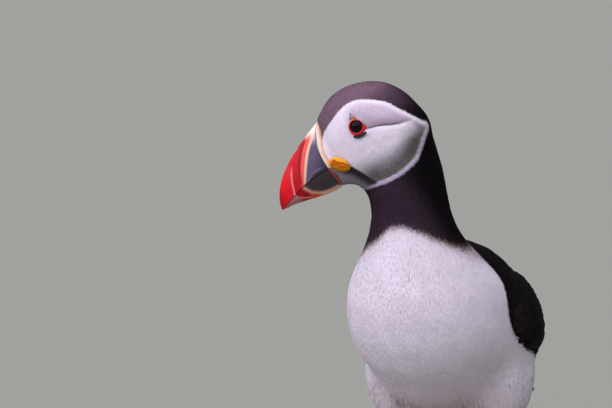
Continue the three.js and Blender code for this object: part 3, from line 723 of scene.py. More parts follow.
def new_material(title, **shader):
    material = bpy.data.materials.new(title)
    material.use_nodes = True
    principled = material.node_tree.nodes["Principled BSDF"]
    for key, value in shader.items():
        principled.inputs[key.replace("_", " ")].default_value = value
    return material, material.node_tree, principled


def grained_material(title, source, grain=1.0, blotch=5.0, variation=0.15, roughness=0.4, bump=0.2, **shader):
    """A material with the fine grain. The source is a colour, or the name of one kept on the vertices."""
    material, tree, principled = new_material(title, **shader)
    if isinstance(source, str):
        colour = node(tree, "ShaderNodeAttribute", attribute_name=source).outputs["Color"]
    else:
        colour = (*source, 1.0)
    grained = node(tree, "ShaderNodeGroup", node_tree=fine_grain_group())
    feed(tree, grained, {"Color": colour, "Grain size": grain, "Blotch size": blotch, "Variation": variation,
                         "Roughness": roughness, "Bump": bump})
    feed(tree, principled, {"Base Color": grained.outputs["Color"], "Roughness": grained.outputs["Roughness"],
                            "Normal": grained.outputs["Normal"]})
    return material


def plumage_material():
    """Soft, matt plumage whose colour is kept on the vertices, with a tone of its own for each tuft."""
    if "Plumage" in bpy.data.materials:
        return bpy.data.materials["Plumage"]
    return grained_material(
        "Plumage", "plumage", grain=0.9, blotch=9.0, variation=0.16, roughness=0.85, bump=0.06,
        Specular_IOR_Level=0.05)


def vane_material():
    """Larger feathers: barbs slant from the shaft."""
    if "Vanes" in bpy.data.materials:
        return bpy.data.materials["Vanes"]
    material, tree, principled = new_material("Vanes", Specular_IOR_Level=0.06)
    colour = node(tree, "ShaderNodeAttribute", attribute_name="plumage").outputs["Color"]
    across = node(tree, "ShaderNodeAttribute", attribute_name="across").outputs["Fac"]
    along = node(tree, "ShaderNodeAttribute", attribute_name="along").outputs["Fac"]
    slant = worked_out(tree, "MULTIPLY_ADD", worked_out(tree, "ABSOLUTE", across), -0.8, along)
    barbs = worked_out(tree, "SINE", worked_out(tree, "MULTIPLY", slant, 14.0))
    bump = node(tree, "ShaderNodeBump", {"Strength": 0.25, "Distance": 0.15 * MM, "Height": barbs})
    place = node(tree, "ShaderNodeTexCoord").outputs["Object"]
    blots = node(tree, "ShaderNodeTexNoise", {"Vector": place, "Scale": 220.0, "Detail": 3.0}).outputs[0]
    value = node(tree, "ShaderNodeMapRange", {"Value": blots, "To Min": 0.7, "To Max": 1.35}).outputs[0]
    varied = node(tree, "ShaderNodeHueSaturation", {"Color": colour, "Value": value})
    rough = node(tree, "ShaderNodeMapRange", {"Value": blots, "To Min": 0.62, "To Max": 0.85}).outputs[0]
    feed(tree, principled, {
        "Base Color": varied.outputs["Color"], "Roughness": rough, "Normal": bump.outputs["Normal"]})
    return material


# ---- Skin and coat ----

UNDER_LID = 3.45  # how far in front of each eyeball's centre the skin may lie
CAP_AT = 24.0  # how far forward the skin's flat end inside the bill is
CUT_ABOVE = 140  # the cut that makes it leaves all below this height alone
BELLY_SAG = 6.0
SAG_LOWEST = 36  # below this height the skin of the legs stays as it is


def sink_eyes(points):
    """Lets the skin pass flat below each eyeball and its lid."""
    head = to_head(points)
    for sign in (1, -1):
        side = np.array([1, sign, 1])
        away = head * side - EYE_AT
        height = away @ EYE_LOOK
        aside = np.linalg.norm(away - height[:, None] * EYE_LOOK, axis=1)
        wanted = np.where(height > 0, np.minimum(height, UNDER_LID), height)
        share = smooth(6.2, 4.2, aside) * (height > 0)
        head = head + ((wanted - height) * share)[:, None] * (EYE_LOOK * side)
    return from_head(head)


def fill_hollows(mesh, mask, rounds, passes):
    """Raises the masked hollows between parts, and leaves what bulges as it is."""
    for _ in range(rounds):
        points, normals = corners_of(mesh), normals_of(mesh)
        soft = np.stack([spread(mesh, points[:, k], passes) for k in range(3)], axis=1)
        lift = np.maximum(((soft - points) * normals).sum(axis=1), 0) * mask
        set_corners(mesh, points + normals * lift[:, None])


def even_out(mesh, mask, passes):
    """Evens out the masked surface without shrinking it."""
    points = corners_of(mesh)
    once = np.stack([spread(mesh, points[:, k], passes) for k in range(3)], axis=1)
    twice = np.stack([spread(mesh, once[:, k], passes) for k in range(3)], axis=1)
    set_corners(mesh, points + (2 * once - twice - points) * mask[:, None])


def cut_inside_bill(mesh):
    """Ends the skin with a flat cap inside the bill."""
    bm = bmesh.new()
    bm.from_mesh(mesh)
    place = Vector((from_head(np.array([[CAP_AT, 0, 0]]))[0] + SHIFT) * MM)
    parts = [v for v in bm.verts if v.co.z > CUT_ABOVE * MM]
    high = set(parts)
    parts += [e for e in bm.edges if high.issuperset(e.verts)]
    parts += [f for f in bm.faces if high.issuperset(f.verts)]
    bmesh.ops.bisect_plane(
        bm, geom=parts, plane_co=place, plane_no=Vector(HEAD_AXES[:, 0]), clear_outer=True)
    rim = [e for e in bm.edges if e.is_boundary]
    cap = bmesh.ops.holes_fill(bm, edges=rim, sides=0)
    bmesh.ops.triangulate(bm, faces=cap["faces"])
    bm.to_mesh(mesh)
    bm.free()
    mesh.update()


class PUFFIN_OT_skin(bpy.types.Operator):
    """Make one skin for head, neck, trunk, wings and thighs, inside the solids by the coat's depth"""

    bl_idname = "puffin.skin"
    bl_label = "Skin"

    def execute(self, context):
        under_horn = ("eye_left", "eye_right", "bill_ridge", "bill_upper", "bill_lower")
        skin = merged_copy(FLESH + under_horn, "skin")
        one_surface(skin, swell=0.35, voxel=1.0, passes=22)
        mesh = skin.data
        points = corners_of(mesh)
        _, y, z = points.T
        forward, _, up = to_head(points).T
        throat = smooth(9, 5, np.abs(forward - 12)) * smooth(10, 5, np.abs(up + 29))
        hollows = smooth(92, 70, z) * smooth(56, 42, np.abs(y - 12)) * smooth(32, 40, z)
        fill_hollows(mesh, np.maximum(hollows, throat * (z > 130)), rounds=8, passes=150)
        _, y, z = corners_of(mesh).T
        trunk = smooth(138, 122, z) * smooth(38, 46, z) * smooth(2, -12, y)
        even_out(mesh, trunk, 160)
        # The loose feathers of the belly fill the gap between the thighs.
        points = corners_of(mesh)
        x, y, z = points.T
        sag = smooth(64, 46, z) * smooth(34, 20, np.abs(x)) * smooth(46, 20, np.abs(y - 2))
        points[:, 2] -= BELLY_SAG * sag * (z > SAG_LOWEST)
        set_corners(mesh, points)
        cut_inside_bill(mesh)
        points = corners_of(mesh)
        x, y, _ = points.T
        head = to_head(points)
        seen = side_view(head)
        wing_out, wing_thick = (np.interp(y, WING[:, 1], WING[:, k]) for k in (0, 5))
        on_wing = (np.abs(x) > wing_out - 3) & (y > -20)
        inset = coat_depth(points)
        inset = np.where(on_wing, np.minimum(inset, 0.22 * wing_thick), inset)
        inset = spread(mesh, inset, 14)
        on_head = above_throat(points) > 0
        inset = inset + 1.9 * smooth(0.1, 1.6, head[:, 0] - ridge_rear(head[:, 2])) * on_head
        inset = inset + 0.8 * smooth(0.0, 1.0, depth_inside(seen, ROSETTE)) * on_head
        away, share = line_distance(seen, CREASE)
        fold = 0.55 * bell(away, 0.9) * smooth(1.0, 0.6, share) * on_head
        set_corners(mesh, sink_eyes(points - normals_of(mesh) * (inset + fold)[:, None]))
        write_values(mesh, "plumage", plumage_colour(corners_of(mesh)))
        on_all(skin, bpy.ops.uv.smart_project, angle_limit=math.radians(66), island_margin=0.002)
        finish_piece(skin, plumage_material(), FLESH)
        return {"FINISHED"}


class SkinSurface:
    """The skin as triangles to grow feathers on."""

    def __init__(self, skin):
        mesh = skin.data
        mesh.calc_loop_triangles()
        self.points = corners_of(mesh)
        self.normals = normals_of(mesh)
        self.triangles = rows_of(mesh.loop_triangles, "vertices", 3, np.int32)
        loops = rows_of(mesh.loop_triangles, "loops", 3, np.int32)
        self.uv = rows_of(mesh.uv_layers.active.data, "uv", 2, np.float32)[loops]
        a, b, c = (self.points[self.triangles[:, k]] for k in range(3))
        self.areas = np.linalg.norm(np.cross(b - a, c - a), axis=1) / 2
        self.middles = (a + b + c) / 3
        self.tree = BVHTree.FromPolygons(self.points.tolist(), self.triangles.tolist())
        # Neighbours stand close together in this order, so that even steps along it spread evenly.
        cells = ((self.middles - self.middles.min(axis=0)) / 0.8).astype(np.int64)
        code = np.zeros(len(cells), np.int64)
        for bit in range(9):
            for axis in range(3):
                code |= ((cells[:, axis] >> bit) & 1) << (3 * bit + axis)
        self.order = np.argsort(code, kind="stable")

    def sample(self, weights, rng):
        """Evenly spread roots, by the number wanted on each triangle: places, normals, unwrapped places."""
        count = int(weights.sum())
        steps = (np.arange(count) + rng.uniform(0, 1, count)) * weights.sum() / count
        picked = np.searchsorted(np.cumsum(weights[self.order]), steps)
        picked = self.order[np.minimum(picked, len(weights) - 1)]
        share = rng.dirichlet((1, 1, 1), count)[..., None]
        corners = self.triangles[picked]
        places = (self.points[corners] * share).sum(axis=1)
        normals = unit((self.normals[corners] * share).sum(axis=1))
        return places, normals, (self.uv[picked] * share).sum(axis=1)

    def nearest(self, places):
        """The nearest places on the skin, their smooth normals and their unwrapped places."""
        found = np.empty_like(places)
        face = np.empty(len(places), np.int64)
        for i, place in enumerate(places.tolist()):
            spot, _, index, _ = self.tree.find_nearest(place)
            found[i] = spot
            face[i] = index
        corners = self.triangles[face]
        a, b, c = (self.points[corners[:, k]] for k in range(3))
        whole = np.maximum(np.linalg.norm(np.cross(b - a, c - a), axis=1), 1e-9)
        shares = np.stack([np.linalg.norm(np.cross(first - found, second - found), axis=1)
                           for first, second in ((b, c), (c, a), (a, b))], axis=1) / whole[:, None]
        shares = shares / shares.sum(axis=1, keepdims=True)
        normals = unit((self.normals[corners] * shares[..., None]).sum(axis=1))
        return found, normals, (self.uv[face] * shares[..., None]).sum(axis=1)


def skin_surface():
    if "skin" not in bpy.data.objects:
        raise RuntimeError("make the skin first")
    return SkinSurface(bpy.data.objects["skin"])


TUFT_MIDDLE = 0.6  # the share of a tuft's length at its middle
MIDDLE_HANG, TIP_HANG = 2.4, 6.5  # how far a tuft below the belly hangs down
TUFT_PATCH = 0.003  # how wide each tuft's patch is on the unwrapped skin
MOST_TUFTS = 33000  # in one piece
# A closed tuft: its root, two edges and a ridge half way, and its tip.
TUFT_FACES = np.array([(0, 3, 1), (0, 2, 3), (1, 3, 4), (3, 2, 4), (0, 1, 4), (0, 4, 2)])
TUFT_SPOTS = np.array([(0.5, 0), (0, 0.5), (1, 0.5), (0.5, 0.5), (0.5, 1)])


def tuft_sizes(points):
    """Length and width of the tufts at each place."""
    y, z = points[:, 1], points[:, 2]
    head = to_head(points)
    on_head = smooth(-14, 4, above_throat(points))
    length = 5.4 - 1.6 * smooth(112, 145, z) + 3.0 * low_belly(points) * smooth(32, 38, z)
    length = length + (1.9 - length) * on_head
    eye = from_eye(head)
    near = smooth(9, 5.5, np.hypot(eye[:, 0], eye[:, 1])) * (eye[:, 2] > -3)
    length = length * (1 - 0.4 * on_head * np.maximum(smooth(9, 16, head[:, 0]), near))
    length = length * (1 - 0.4 * smooth(46, 32, z) * (y < 45))
    length = length * (1 - 0.35 * smooth(6, 2, np.abs(z - bib_height(points) - 2)) * (y < 40))
    return length, length * (0.155 + 0.05 * on_head)


def coat_piece(title, surface, chosen, rng, layers):
    """One piece of coat: tufts over the chosen triangles of the skin."""
    length, width = tuft_sizes(surface.middles)
    weights = np.where(chosen, surface.areas * layers / (0.5 * length * width), 0)
    x, _, z = surface.middles.T
    weights = weights * (1 + 1.5 * smooth(52, 44, z) * smooth(34, 22, np.abs(x)))
    weights = weights * min(1, MOST_TUFTS / weights.sum())
    root, up, unwrapped = surface.sample(weights, rng)
    kept = ~is_bare(root)
    root, up, unwrapped = root[kept], up[kept], unwrapped[kept]
    count = len(root)
    length, width = tuft_sizes(root)
    length = length * rng.uniform(0.72, 1.25, count)
    width = width * rng.uniform(0.8, 1.3, count)
    flow = lie_of_coat(root, up)
    aside = np.cross(up, flow)
    stray = rng.normal(size=(count, 1))
    flow = unit(flow + 0.09 * stray * aside + 0.12 * mottle(root, 7, 21)[:, None] * aside)
    x, y, z = root.T
    hang = smooth(62, 44, z) * smooth(0.1, -0.5, up[:, 2]) * smooth(40, 28, np.abs(y - 10))
    hang = hang * smooth(30, 20, np.abs(x)) * rng.uniform(0.45, 1, count)
    clump = mottle(root * [1, 1, 0.4], 1.5, 9)
    rise = coat_depth(root) * rng.uniform(0.82, 1.03, count) * (1 + 0.06 * clump)
    middle, middle_up, _ = surface.nearest(root + flow * (TUFT_MIDDLE * length)[:, None])
    tip, tip_up, _ = surface.nearest(root + flow * length[:, None])
    middle[:, 2] -= MIDDLE_HANG * hang
    tip[:, 2] -= TIP_HANG * hang
    kept = ~is_bare(middle) & ~is_bare(tip)
    root, up, unwrapped, width, rise, middle, middle_up, tip, tip_up, clump = (
        values[kept] for values in (root, up, unwrapped, width, rise, middle, middle_up, tip, tip_up, clump))
    count = len(root)
    # The markings are taken at the tuft's middle and tip, a little off for each tuft.
    ragged = rng.normal(0, 0.5, count)
    tone = (1 + rng.normal(0, 1, count) * np.where(plumage_colour(root)[:, 1] < 0.3, 0.16, 0.035))[:, None]
    near, far = plumage_colour(middle, ragged) * tone, plumage_colour(tip, ragged) * tone
    colours = np.stack([near, near, near, near, far], axis=1).reshape(-1, 3)
    middle = middle + middle_up * (0.80 * rise)[:, None]
    tip = tip + tip_up * rise[:, None]
    lie = unit(tip - root)
    hanging = smooth(0.4, 0.9, (lie * middle_up).sum(axis=1))
    level = root * [0.04, 0.04, 0] + [0, -0.4, 0] + 0.25 * rng.normal(size=(count, 3)) * [1, 1, 0]
    facing = mixed(middle_up, unit(level), hanging)
    facing = unit(facing - (facing * lie).sum(axis=1, keepdims=True) * lie)
    side = np.cross(facing, lie)
    half = (width * (0.5 + 0.5 * hanging))[:, None]
    points = np.stack([
        root - 0.15 * up,
        middle + side * half - facing * half * 0.12,
        middle - side * half - facing * half * 0.12,
        middle + facing * half * 0.12,
        tip,
    ], axis=1)
    faces = (np.arange(count)[:, None, None] * 5 + TUFT_FACES[None]).reshape(-1, 3)
    piece = mesh_object(title, points.reshape(-1, 3), faces)
    mesh = piece.data
    write_values(mesh, "plumage", np.clip(colours, 0, 1))
    bulge = 0.13 + 0.10 * smooth(-14, 4, above_throat(root))[:, None]
    tilt = facing * (0.35 + 0.8 * hanging[:, None]) + side * (0.10 * clump[:, None])
    base, end = unit(0.65 * middle_up + tilt), unit(0.65 * tip_up + tilt)
    soft = unit(np.stack([base, base + bulge * side, base - bulge * side, base, end + 0.06 * lie], axis=1))
    soft = soft[:, TUFT_FACES]
    soft[:, 4:] = -facing[:, None, None]
    finish_piece(piece, plumage_material())
    mesh.normals_split_custom_set(soft.reshape(-1, 3).tolist())
    spots = unwrapped[:, None, :] * (1 - TUFT_PATCH) + TUFT_SPOTS[None] * TUFT_PATCH
    write_bake_map(mesh, faces, spots.reshape(-1, 2))


def coat_regions(surface):
    """The skin's triangles of each piece of coat."""
    middle = surface.middles
    x, y, z = middle.T
    forward, out, up = to_head(middle).T
    on_head = above_throat(middle) > 0
    neck = ~on_head & (z - 0.3 * (y + 40) > 118)
    wing_edge = np.interp(y, WING[:, 1], WING[:, 0] - 0.25 * WING[:, 5])
    wing_low = np.interp(y, WING[:, 1], WING[:, 2] - WING[:, 4])
    lower = ~on_head & ~neck
    wing = lower & (np.abs(x) > wing_edge) & (z > wing_low) & (y > -17)
    thigh = lower & ~wing & (z < 58) & (y < 45) & (np.abs(x) > 10)
    rest = lower & ~wing & ~thigh
    white = bib_height(middle) > z
    front = y < -10
    left = x >= 0
    bare = on_head & (forward > ridge_rear(up) + 0.2)
    return {
        "coat_head_left": (on_head & (out >= 0) & ~bare, "face_feathers"),
        "coat_head_right": (on_head & (out < 0) & ~bare, "face_feathers"),
        "coat_neck": (neck, "black_feathers"),
        "coat_breast_left": (rest & front & left, "white_feathers"),
        "coat_breast_right": (rest & front & ~left, "white_feathers"),
        "coat_belly": (rest & ~front & white, "white_feathers"),
        "coat_back": (rest & ~front & ~white, "black_feathers"),
        "coat_thighs": (thigh, "white_feathers"),
        "coat_wings": (wing, "black_feathers"),
    }


class PUFFIN_OT_coat(bpy.types.Operator):
    """Cover the skin with small closed tufts that follow the lie of the coat"""

    bl_idname = "puffin.coat"
    bl_label = "Coat"

    def execute(self, context):
        paint = context.scene.puffin_plumage
        surface = skin_surface()
        rng = np.random.default_rng(paint.seed)
        for title, (chosen, slot) in coat_regions(surface).items():
            layers = paint.layers * (0.3 if title == "coat_wings" else 1)
            coat_piece(title, surface, chosen, rng, layers)
        return {"FINISHED"}


# ---- Vanes: the larger feathers of wings and tail ----

VANE_STATIONS = np.array([0, 0.12, 0.28, 0.45, 0.62, 0.76, 0.87, 0.95, 1.0])
VANE_ACROSS = np.array([1, 0.5, 0, -0.5, -1])  # from the left edge to the right one
VANE_RING = len(VANE_ACROSS) + 1  # corners of each cross-section, with one below the shaft
VANE_ENDS = (((5, 4, 3, 2), (5, 2, 1, 0)), ((0, 1, 2, 3), (0, 3, 4, 5)))  # faces over the root and the tip


class Vanes:
    """Collects vanes and makes them one piece."""

    def __init__(self):
        self.points, self.faces, self.across, self.along, self.colour, self.spots = ([] for _ in range(6))
        self.count = 0

    def add(self, path, ups, width, colour, spot, tip_round=0.42, thick=0.22, patch=0.010, cup=0.10):
        """One vane along a path whose rows are at the vane's stations."""
        path = np.asarray(path, float)
        forward = unit(np.gradient(path, axis=0))
        ups = unit(ups - (ups * forward).sum(axis=1, keepdims=True) * forward)
        side = np.cross(ups, forward)
        s = VANE_STATIONS
        wide = width / 2 * np.minimum(1, 0.38 + 1.1 * s)
        start = 1 - tip_round
        wide = wide * np.sqrt(np.clip(1 - (np.maximum(s - start, 0) / tip_round) ** 2.2, 0.02, 1))
        length = np.linalg.norm(np.diff(path, axis=0), axis=1).sum()
        rows = []
        for here, aside, up, half in zip(path, side, ups, wide):
            rows += [here + aside * half * a - up * (cup * half * a * a) + up * (thick * 0.5 if a == 0 else 0)
                     for a in VANE_ACROSS]
            rows.append(here - up * (thick + cup * half * 0.4))
        first = self.count
        last = first + (len(s) - 1) * VANE_RING
        self.points.append(np.array(rows))
        for a in range(first, last, VANE_RING):
            b = a + VANE_RING
            for j in range(VANE_RING):
                n = (j + 1) % VANE_RING
                self.faces.append((a + j, a + n, b + n, b + j))
        for base, ends in zip((first, last), VANE_ENDS):
            self.faces += [tuple(base + i for i in end) for end in ends]
        across = np.r_[VANE_ACROSS, 0]
        self.across.append(np.outer(wide, across).ravel())
        self.along.append(np.repeat(s * length, VANE_RING))
        self.colour.append(np.tile(colour, (len(rows), 1)))
        u = np.tile((across + 1) / 2, len(s)) * 0.5 + np.tile(np.r_[np.zeros(len(VANE_ACROSS)), 0.5], len(s))
        v = np.repeat(s, VANE_RING)
        self.spots.append(np.asarray(spot) * (1 - patch) + np.stack([u, v], axis=1) * patch)
        self.count += len(rows)

    def build(self, title, slot, replaced=()):
        """Makes one piece of all the vanes."""
        faces = np.array(self.faces)
        piece = mesh_object(title, np.concatenate(self.points), faces)
        mesh = piece.data
        write_values(mesh, "plumage", np.concatenate(self.colour))
        write_values(mesh, "across", np.concatenate(self.across))
        write_values(mesh, "along", np.concatenate(self.along))
        finish_piece(piece, vane_material(), replaced, angle=50)
        write_bake_map(mesh, faces, np.concatenate(self.spots))


SKIN_REACH = 2.5  # how far from the skin a vane still follows it
BLADE_STEPS = 100  # along a folded wing


def path_on_skin(surface, root, heading, length, low, high):
    """A vane's path over the skin from its root, rising from low to high above it."""
    spot, up, unwrapped = surface.nearest(np.array([root]))
    spot, up = spot[0], up[0]
    heading = unit(heading - (heading @ up) * up)
    path, ups = [], []
    before = 0.0
    for share in VANE_STATIONS:
        reach = spot + heading * (share - before) * length
        found, found_up, _ = surface.nearest(np.array([reach]))
        if np.linalg.norm(found[0] - reach) < SKIN_REACH:
            spot, up = found[0], unit(0.5 * up + 0.5 * found_up[0])
            heading = unit(heading - (heading @ up) * up)
        else:
            spot = reach  # past the end of the skin the vane goes straight on
        before = share
        path.append(spot + up * (low + (high - low) * share))
        ups.append(up)
    path = np.array(path)
    path[1:-1] = (path[:-2] + 2 * path[1:-1] + path[2:]) / 4
    return path, np.array(ups), unwrapped[0]


def on_blade(table, share, rise, sign):
    """A place on the outer face of a folded wing, with its outward way and the way to the tip."""
    fine = along_curve(table, BLADE_STEPS + 1)
    at = np.clip(share, 0, 1) * BLADE_STEPS
    k = min(int(at), BLADE_STEPS - 1)
    x, y, z, lean, high, thick = fine[k] + (fine[k + 1] - fine[k]) * (at - k)
    cos, sin = math.cos(math.radians(lean)), math.sin(math.radians(lean))
    out = thick * math.sqrt(max(0.0, 1 - rise * rise))
    place = np.array([x + out * cos - rise * high * sin, y, z + out * sin + rise * high * cos])
    flat = math.sqrt(max(0.05, 1 - rise * rise))
    normal = np.array([cos / thick * flat - sin * rise / high, 0, sin / thick * flat + cos * rise / high])
    onward = unit(fine[k + 1][:3] - fine[k][:3])
    turn = np.array([sign, 1, 1])
    return place * turn, unit(normal) * turn, onward * turn


def vane_colour(rng, brown):
    """Nearly black, with a share of brown that differs a little from vane to vane."""
    paint = bpy.context.scene.puffin_plumage
    share = np.clip(brown + rng.normal(0, 0.025), 0, 1)
    colour = np.array(paint.black) * (1 - share) + np.array(paint.brown) * share
    return colour * rng.uniform(0.6, 0.95)


WING_LENGTH = 125
PRIMARIES = 9  # the longest flight feathers of the folded wing
INNER_FEATHERS = 8  # secondaries and tertials in sight


class PUFFIN_OT_wings(bpy.types.Operator):
    """Lay the coverts, shoulder feathers and flight feathers of both wings"""

    bl_idname = "puffin.wings"
    bl_label = "Wings"

    def coverts(self, surface, sign, rng):
        vanes = Vanes()
        fine = along_curve(WING, BLADE_STEPS + 1)
        share, row = 0.0, 0
        while share < 0.86:
            length = 6.5 + 15 * share
            width = 4.2 + 4.5 * share
            high = fine[int(share * BLADE_STEPS), 4]
            rows = max(3, int(round(2.0 * high / (0.56 * width))))
            for j in range(rows + 1):
                rise = -0.96 + 1.9 * (j + 0.5 * (row % 2)) / rows + rng.normal(0, 0.02)
                if rise > 1.02:
                    continue
                place, _, onward = on_blade(WING, share, np.clip(rise, -0.99, 0.99), sign)
                droop = np.array([0, 0, -0.10 - 0.12 * (rise < -0.3)])
                heading = unit(onward + droop + 0.05 * rng.normal(size=3))
                reach = length * rng.uniform(0.92, 1.08)
                path, ups, spot = path_on_skin(surface, place, heading, reach, 0.15, 1.25)
                brown = 0.01 + 0.20 * smooth(0.10, 0.0, share) * (rise < 0.2)
                vanes.add(path, ups, width, vane_colour(rng, brown), spot)
            share += 0.40 * length / WING_LENGTH
            row += 1
        return vanes

    def flight(self, surface, sign, rng):
        vanes = Vanes()
        fine = along_curve(FLIGHT, BLADE_STEPS + 1)
        for i in range(PRIMARIES):
            end = 1.0 - 0.062 * i
            begin = max(0.0, end - 0.55)
            rise = 0.8 * (-0.55 + 0.13 * i)
            path, ups = [], []
            for share in begin + (end - begin) * VANE_STATIONS:
                place, normal, _ = on_blade(FLIGHT, share, 0.0, sign)
                lean, high = fine[int(share * BLADE_STEPS), 3:5]
                upward = np.array([-math.sin(math.radians(lean)) * sign, 0, math.cos(math.radians(lean))])
                place = place + upward * high * rise * (1 - 0.25 * share)
                path.append(place - normal * (0.15 + 0.22 * (PRIMARIES - 1 - i)) + 0.6 * normal)
                ups.append(normal)
            _, _, spot = surface.nearest(path[0][None, :])
            colour = vane_colour(rng, 0.10)
            vanes.add(path, np.array(ups), 9.5 - 0.25 * i, colour, spot[0], tip_round=0.16, patch=0.02)
        # Secondaries and tertials lie over them.
        for i in range(INNER_FEATHERS):
            begin = 0.30 + 0.035 * i
            rise = -0.92 + 0.24 * i
            place, _, onward = on_blade(WING, begin, np.clip(rise, -0.97, 0.97), sign)
            heading = unit(onward + np.array([0, 0, -0.06]))
            path, ups, spot = path_on_skin(surface, place, heading, 62 - 2.2 * i, 0.1, 0.9)
            vanes.add(path, ups, 11.0, vane_colour(rng, 0.14), spot, tip_round=0.2, patch=0.02)
        return vanes

    def execute(self, context):
        surface = skin_surface()
        rng = np.random.default_rng(context.scene.puffin_plumage.seed + 1)
        for side, sign in SIDES:
            self.coverts(surface, sign, rng).build("coverts_" + side, "black_feathers")
            self.flight(surface, sign, rng).build(
                "flight_vanes_" + side, "black_feathers", ("flight_feathers_" + side,))
        return {"FINISHED"}


# Cross-sections of rump and tail base: y, half width, level and half thickness.
RUMP = np.array([
    (62, 20, 66.5, 18), (70, 16.5, 63.8, 14), (78, 12.5, 60.2, 9.5), (86, 10.3, 55.5, 5.6),
    (92, 10, 51.5, 3.6), (98, 10.2, 47.6, 2), (104, 10.6, 43.6, 1.2), (112, 11.2, 38.5, 1),
])


TAIL_PAIRS = 8
TAIL_COVERT_ROWS = 6


class PUFFIN_OT_tail(bpy.types.Operator):
    """Lay the sixteen tail feathers and the coverts above and below them"""

    bl_idname = "puffin.tail"
    bl_label = "Tail"

    def execute(self, context):
        surface = skin_surface()
        paint = context.scene.puffin_plumage
        rng = np.random.default_rng(paint.seed + 2)
        vanes = Vanes()
        for i in reversed(range(TAIL_PAIRS)):
            for sign in (1, -1):
                out = (i + 0.5) / TAIL_PAIRS
                start = np.array([sign * 6.0 * out, 82 - 2 * out, 57.0 - 2.2 * out])
                end = np.array([sign * 11.5 * out, 123.6 - 11.0 * out**2, 31.3 + 6.4 * out**2 - 0.8 * out])
                t = VANE_STATIONS[:, None]
                path = start * (1 - t) + end * t
                path[:, 2] += 0.9 * np.sin(math.pi * VANE_STATIONS) + 0.14 * (TAIL_PAIRS - i) - 0.7
                ups = np.tile(unit(np.array([sign * 0.25 * out, 0.5, 0.86])), (len(path), 1))
                _, _, spot = surface.nearest(start[None, :])
                vanes.add(path, ups, 8.6, vane_colour(rng, 0.08), spot[0], tip_round=0.22, patch=0.02)
        vanes.build("tail_vanes", "black_feathers", ("tail",))
        coverts = Vanes()
        for row in range(TAIL_COVERT_ROWS):
            for j in range(-4, 5):
                across = np.clip((j + 0.5 * (row % 2)) / 4.4, -1, 1)
                for above in (True, False):
                    if not above and (abs(across) > 0.55 or row > 3):
                        continue
                    ys = 62 + 4.6 * row + 15 * VANE_STATIONS
                    half, level, thick = (np.interp(ys, RUMP[:, 0], RUMP[:, k]) for k in (1, 2, 3))
                    bulge = math.sqrt(max(0.02, 1 - across**2)) * (1 if above else -1)
                    lift = 0.2 + 0.7 * VANE_STATIONS
                    xs = (half + lift * abs(across)) * across
                    path = np.stack([xs, ys, level + thick * bulge + lift * np.sign(bulge)], axis=1)
                    ups = unit(np.stack([across / half, np.zeros(len(ys)), bulge / thick], axis=1))
                    _, _, spot = surface.nearest(path[0][None, :])
                    if above:
                        colour = vane_colour(rng, 0.02)
                    else:
                        colour = np.array(paint.white) * rng.uniform(0.88, 0.98)
                    coverts.add(path, ups, 5.6, colour, spot[0], patch=0.008)
        coverts.build("tail_coverts", "black_feathers")
        return {"FINISHED"}


# ---- Bill ----

CULMEN = [(17.4, 10.7), (34, 4), (51.5, -6), (52.3, -19.8)]  # the ridge of the upper mandible
CLOSING = [(22.4, -11.4), (38, -11.6), (51.6, -19.6)]  # the line where the bill closes
KEEL = [(19.8, -22.3), (28, -24.6), (37, -20.2), (49.8, -19.3)]  # the lower mandible's lower edge
# Lines across the upper mandible: share of the culmen, share of the closing line, and their bow forwards.
BILL_LINES = np.array([
    (0, 0, 2.9), (0.06, 0.3, 2.2), (0.13, 0.48, 1.6), (0.25, 0.58, 1.5), (0.42, 0.7, 1.5), (0.6, 0.81, 1.1),
    (0.78, 0.9, 0.7), (0.92, 0.965, 0.3), (0.985, 0.992, 0),
])
# The pale ridge at the bill's base in section: share of its breadth, and how far it stands out there.
RIDGE_PROFILE = np.array([
    (-0.65, -1.6), (-0.3, -0.7), (-0.05, 0.1), (0.2, 0.62), (0.5, 0.78), (0.75, 0.5), (0.95, 0.0),
])
BILL_LENGTH = 40  # about how long its edges are, so that lines across them come evenly
BILL_WIDTH = 7.6  # half of it, at the base
BILL_TIP_WIDTH = 0.9
BILL_TAPER = 1.35
EDGE_ROUNDING = 0.07  # the share of the bill's height over which its narrow edge is rounded off
# The rear and front edges of the pale band, the two grooves and the dark cutting edge, in side view.
BAND_BACK = [
    (19.5, 8.2), (21.5, 5.4), (23.7, 3.6), (25.7, 1.7), (27.8, -0.8), (29.9, -3.6), (31.7, -6.2),
    (33.5, -9.2), (35.6, -12.7), (36.3, -14.9),
]
BAND_FRONT = [
    (21.5, 8.2), (22.9, 6.4), (24.9, 4.4), (27.1, 2.3), (29.2, -0.1), (31.3, -3), (32.9, -5.6), (34.8, -8.6),
    (36.4, -11.8), (37.5, -14),
]
GROOVES = [
    [(26.3, 6.2), (28.1, 4.2), (31.2, 0.9), (34.5, -3.9), (36.3, -7.9), (37.8, -12.6)],
    [(31.5, 4.4), (34, 1.7), (36.8, -0.8), (39.1, -4.1), (41, -8), (42.4, -12.3), (43.3, -15.9)],
]
TOMIUM = [
    (22.2, -12.4), (22.9, -11.7), (25.9, -9.6), (28.6, -9.8), (31.1, -10.8), (34.2, -12.6), (36.6, -14.2),
]
LOWER_BAND = [
    (37.6, -14.3), (37, -15.3), (35.4, -17.9), (32.6, -19.8), (29.7, -21), (26.1, -21.5), (22.5, -21.4),
]
LOWER_GROOVE = [(43.3, -15.9), (42.1, -17.3), (39.5, -19), (36, -20.4)]
LOWER_MARK = [(35.5, -19.5), (31.5, -22.3)]  # a brighter streak by the lower band
LOWER_REAR = [(-22.3, 19.8), (-11.7, 21.8)]  # how far forward the lower plate's rear edge is, by height
# Shades of the bill that are mixed into its main colours.
SEAM = (0.012, 0.007, 0.009)
